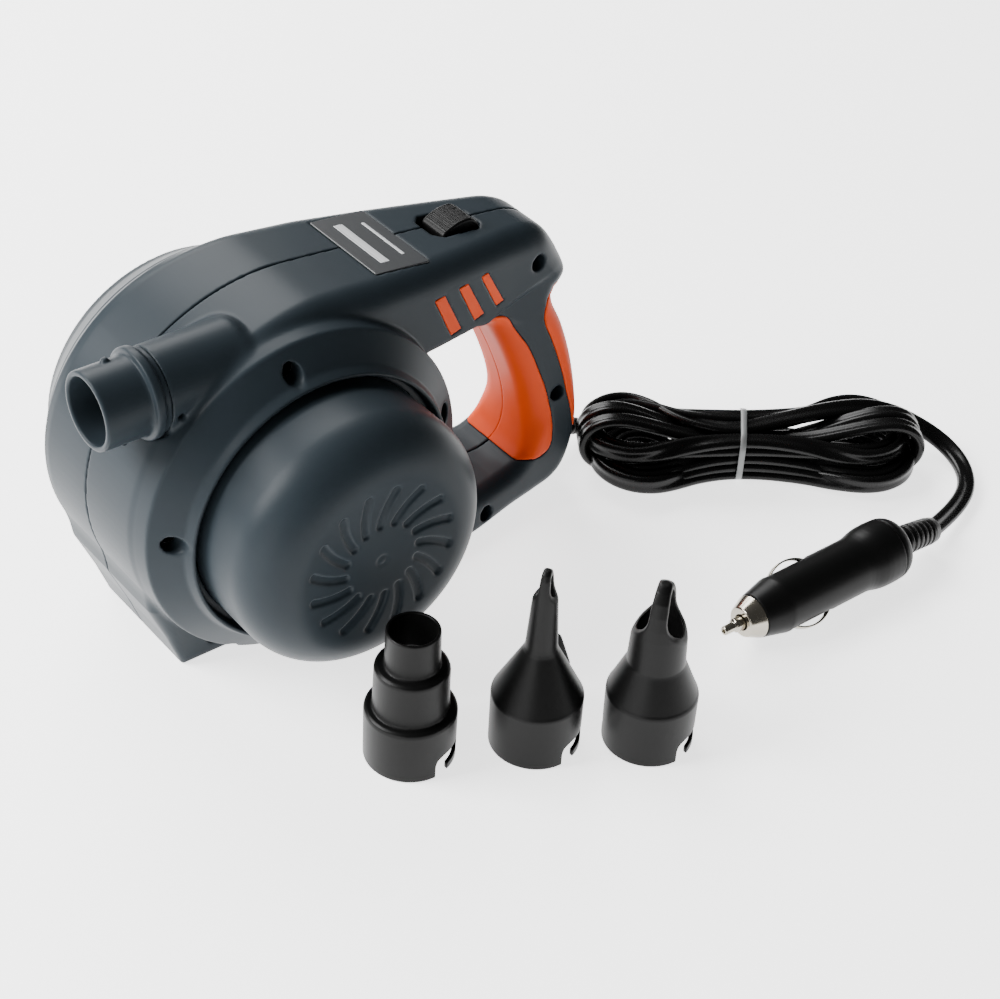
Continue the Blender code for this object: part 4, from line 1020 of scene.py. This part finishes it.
def saddle(solid, g, dx, dy, facing, edge):
    """Scoop both sides down to an edge of (distance across, height), leaving a strap."""
    turn = math.radians(facing)
    across = np.abs(dy * math.cos(turn) - dx * math.sin(turn))
    keep = [(-20, -9), (40, -9), (40, edge[0][1])] + curve(edge, 4) + [(edge[-1][0], 90), (-20, 90)]
    return both(solid, polygon(keep, across, g.z), 0.45)


def fin(solid, g, dx, dy, angle, outline):
    """A radial plate from an outline of (radius, height)."""
    turn = math.radians(angle)
    out = dx * math.cos(turn) + dy * math.sin(turn)
    off = dy * math.cos(turn) - dx * math.sin(turn)
    return union(solid, both(polygon(outline, out, g.z), np.abs(off) - 0.8 + 0 * g.z, 0.35), 0.4)


def dress_nozzle(kind, solid, g):
    dress(surface("nozzle_%s_shell" % kind, solid, g), "dull_black", kind + "_adapter", "black_plastic",
          "nozzle_" + kind)


def make_stepped_nozzle():
    g, dx, dy, radius = nozzle_grid((-4.5, -102.3), 53.4)
    outer = NOZZLE_FOOT + [(15.4, 19.4), (15.1, 20.4), (14.3, 21.0), (12.9, 21.3), (12.65, 21.9)]
    outer += [(12.35, 37.0), (12.1, 37.8), (11.2, 38.5), (9.4, 39.0), (9.15, 39.6), (8.9, 52.3)]
    outer += arc((8.3, 52.4), 0.6, 0, 180, 6)
    inner = [(7.6, 39.2), (10.8, 37.4), (11.0, 21.2), (13.5, 19.4)]
    solid = turned(outer + inner, radius, g.z)
    plate = [(9, 20), (15.0, 20), (15.1, 29.5), (14.7, 32.0), (13.4, 33.6), (12.0, 33.9), (9, 33.9)]
    solid = fin(solid, g, dx, dy, -3.0, plate)
    dress_nozzle("stepped", bayonet(solid, g, dx, dy, radius), g)


def make_needle_nozzle():
    g, dx, dy, radius = nozzle_grid((32.9, -121.2), 73.0)
    outer = NOZZLE_FOOT + [(15.4, 20.8), (15.2, 21.4), (14.8, 22.1), (5.9, 39.8), (5.45, 41.2)]
    outer += [(5.3, 42.4), (4.15, 61.4), (3.95, 64.0), (3.6, 67.0), (3.1, 69.6), (2.2, 71.6), (1.0, 72.5),
              (-9, 72.7)]
    inner = [(-9, 70.9), (1.0, 70.7), (1.7, 69.6), (2.2, 66.4), (2.7, 61.0), (3.7, 41.4), (4.4, 39.4),
             (12.9, 22.4), (13.5, 20.6)]
    solid = turned(outer + inner, radius, g.z)
    edge = [(5.2, 60.4), (4.4, 60.8), (3.7, 61.6), (2.9, 62.6), (2.2, 64.0), (1.8, 66.0), (1.65, 69.0),
            (1.4, 72.8)]
    solid = saddle(solid, g, dx, dy, STRAP_FACING, edge)
    plate = [(5, 23), (14.9, 22), (15, 25), (9.4, 39.4), (8.6, 40.8), (7.2, 41.4), (5, 41.2)]
    solid = fin(solid, g, dx, dy, 9.0, plate)
    dress_nozzle("needle", bayonet(solid, g, dx, dy, radius), g)


def make_valve_nozzle():
    g, dx, dy, radius = nozzle_grid((64.8, -141.8), 66.8)
    outer = NOZZLE_FOOT + [(15.4, 20.6), (15.2, 21.3), (14.8, 22.0), (10.0, 33.6), (9.7, 34.5), (9.3, 44.0)]
    outer += [(9.1, 48.0), (8.6, 52.4), (7.6, 57.2), (6.0, 61.6), (3.8, 64.8), (1.6, 66.1), (-9, 66.3)]
    inner = [(-9, 64.4), (1.4, 64.2), (2.9, 63.0), (4.6, 60.2), (6.0, 56.4), (6.9, 52.2), (7.4, 47.6),
             (7.6, 44.0), (7.8, 34.4), (12.9, 22.4), (13.5, 20.4)]
    solid = turned(outer + inner, radius, g.z)
    edge = [(10.6, 44.1), (9.6, 44.4), (8.6, 45.8), (7.3, 47.6), (5.6, 49.4), (4.2, 51.3), (3.3, 53.5),
            (2.95, 56.0), (2.8, 60.0), (2.3, 66.4)]
    solid = saddle(solid, g, dx, dy, STRAP_FACING, edge)
    dress_nozzle("valve", bayonet(solid, g, dx, dy, radius), g)


# ------------------------ parts kept as they are

CARRIED = {"switch_body": "dull_black", "fan_plate": "slate", "motor_can": "steel", "motor_end_cap": "black",
           "motor_magnets": "magnet", "motor_armature": "copper", "motor_shaft": "steel", "impeller": "nylon",
           "plug_fuse": "glass", "plug_fuse_stop": "nickel"}


def dress_carried(nodes):
    """Give every part that is shown as packed its own node material."""
    for name, node in nodes.items():
        kind = CARRIED.get(name, "wire" if "wire" in name else "dull_black")
        node.data.materials.clear()
        node.data.materials.append(MATERIALS[kind])


make_camera()
make_studio()
make_housing(-1)
make_housing(1)
make_grips()
make_cover()
make_grille()
make_spigot()
make_switch()
make_label()
make_screws()
make_gland()
make_tie()
make_plug()
make_relief()
make_stepped_nozzle()
make_needle_nozzle()
make_valve_nozzle()
dress_carried(frame["nodes"])
cord, cord_path, cord_length = make_cord()
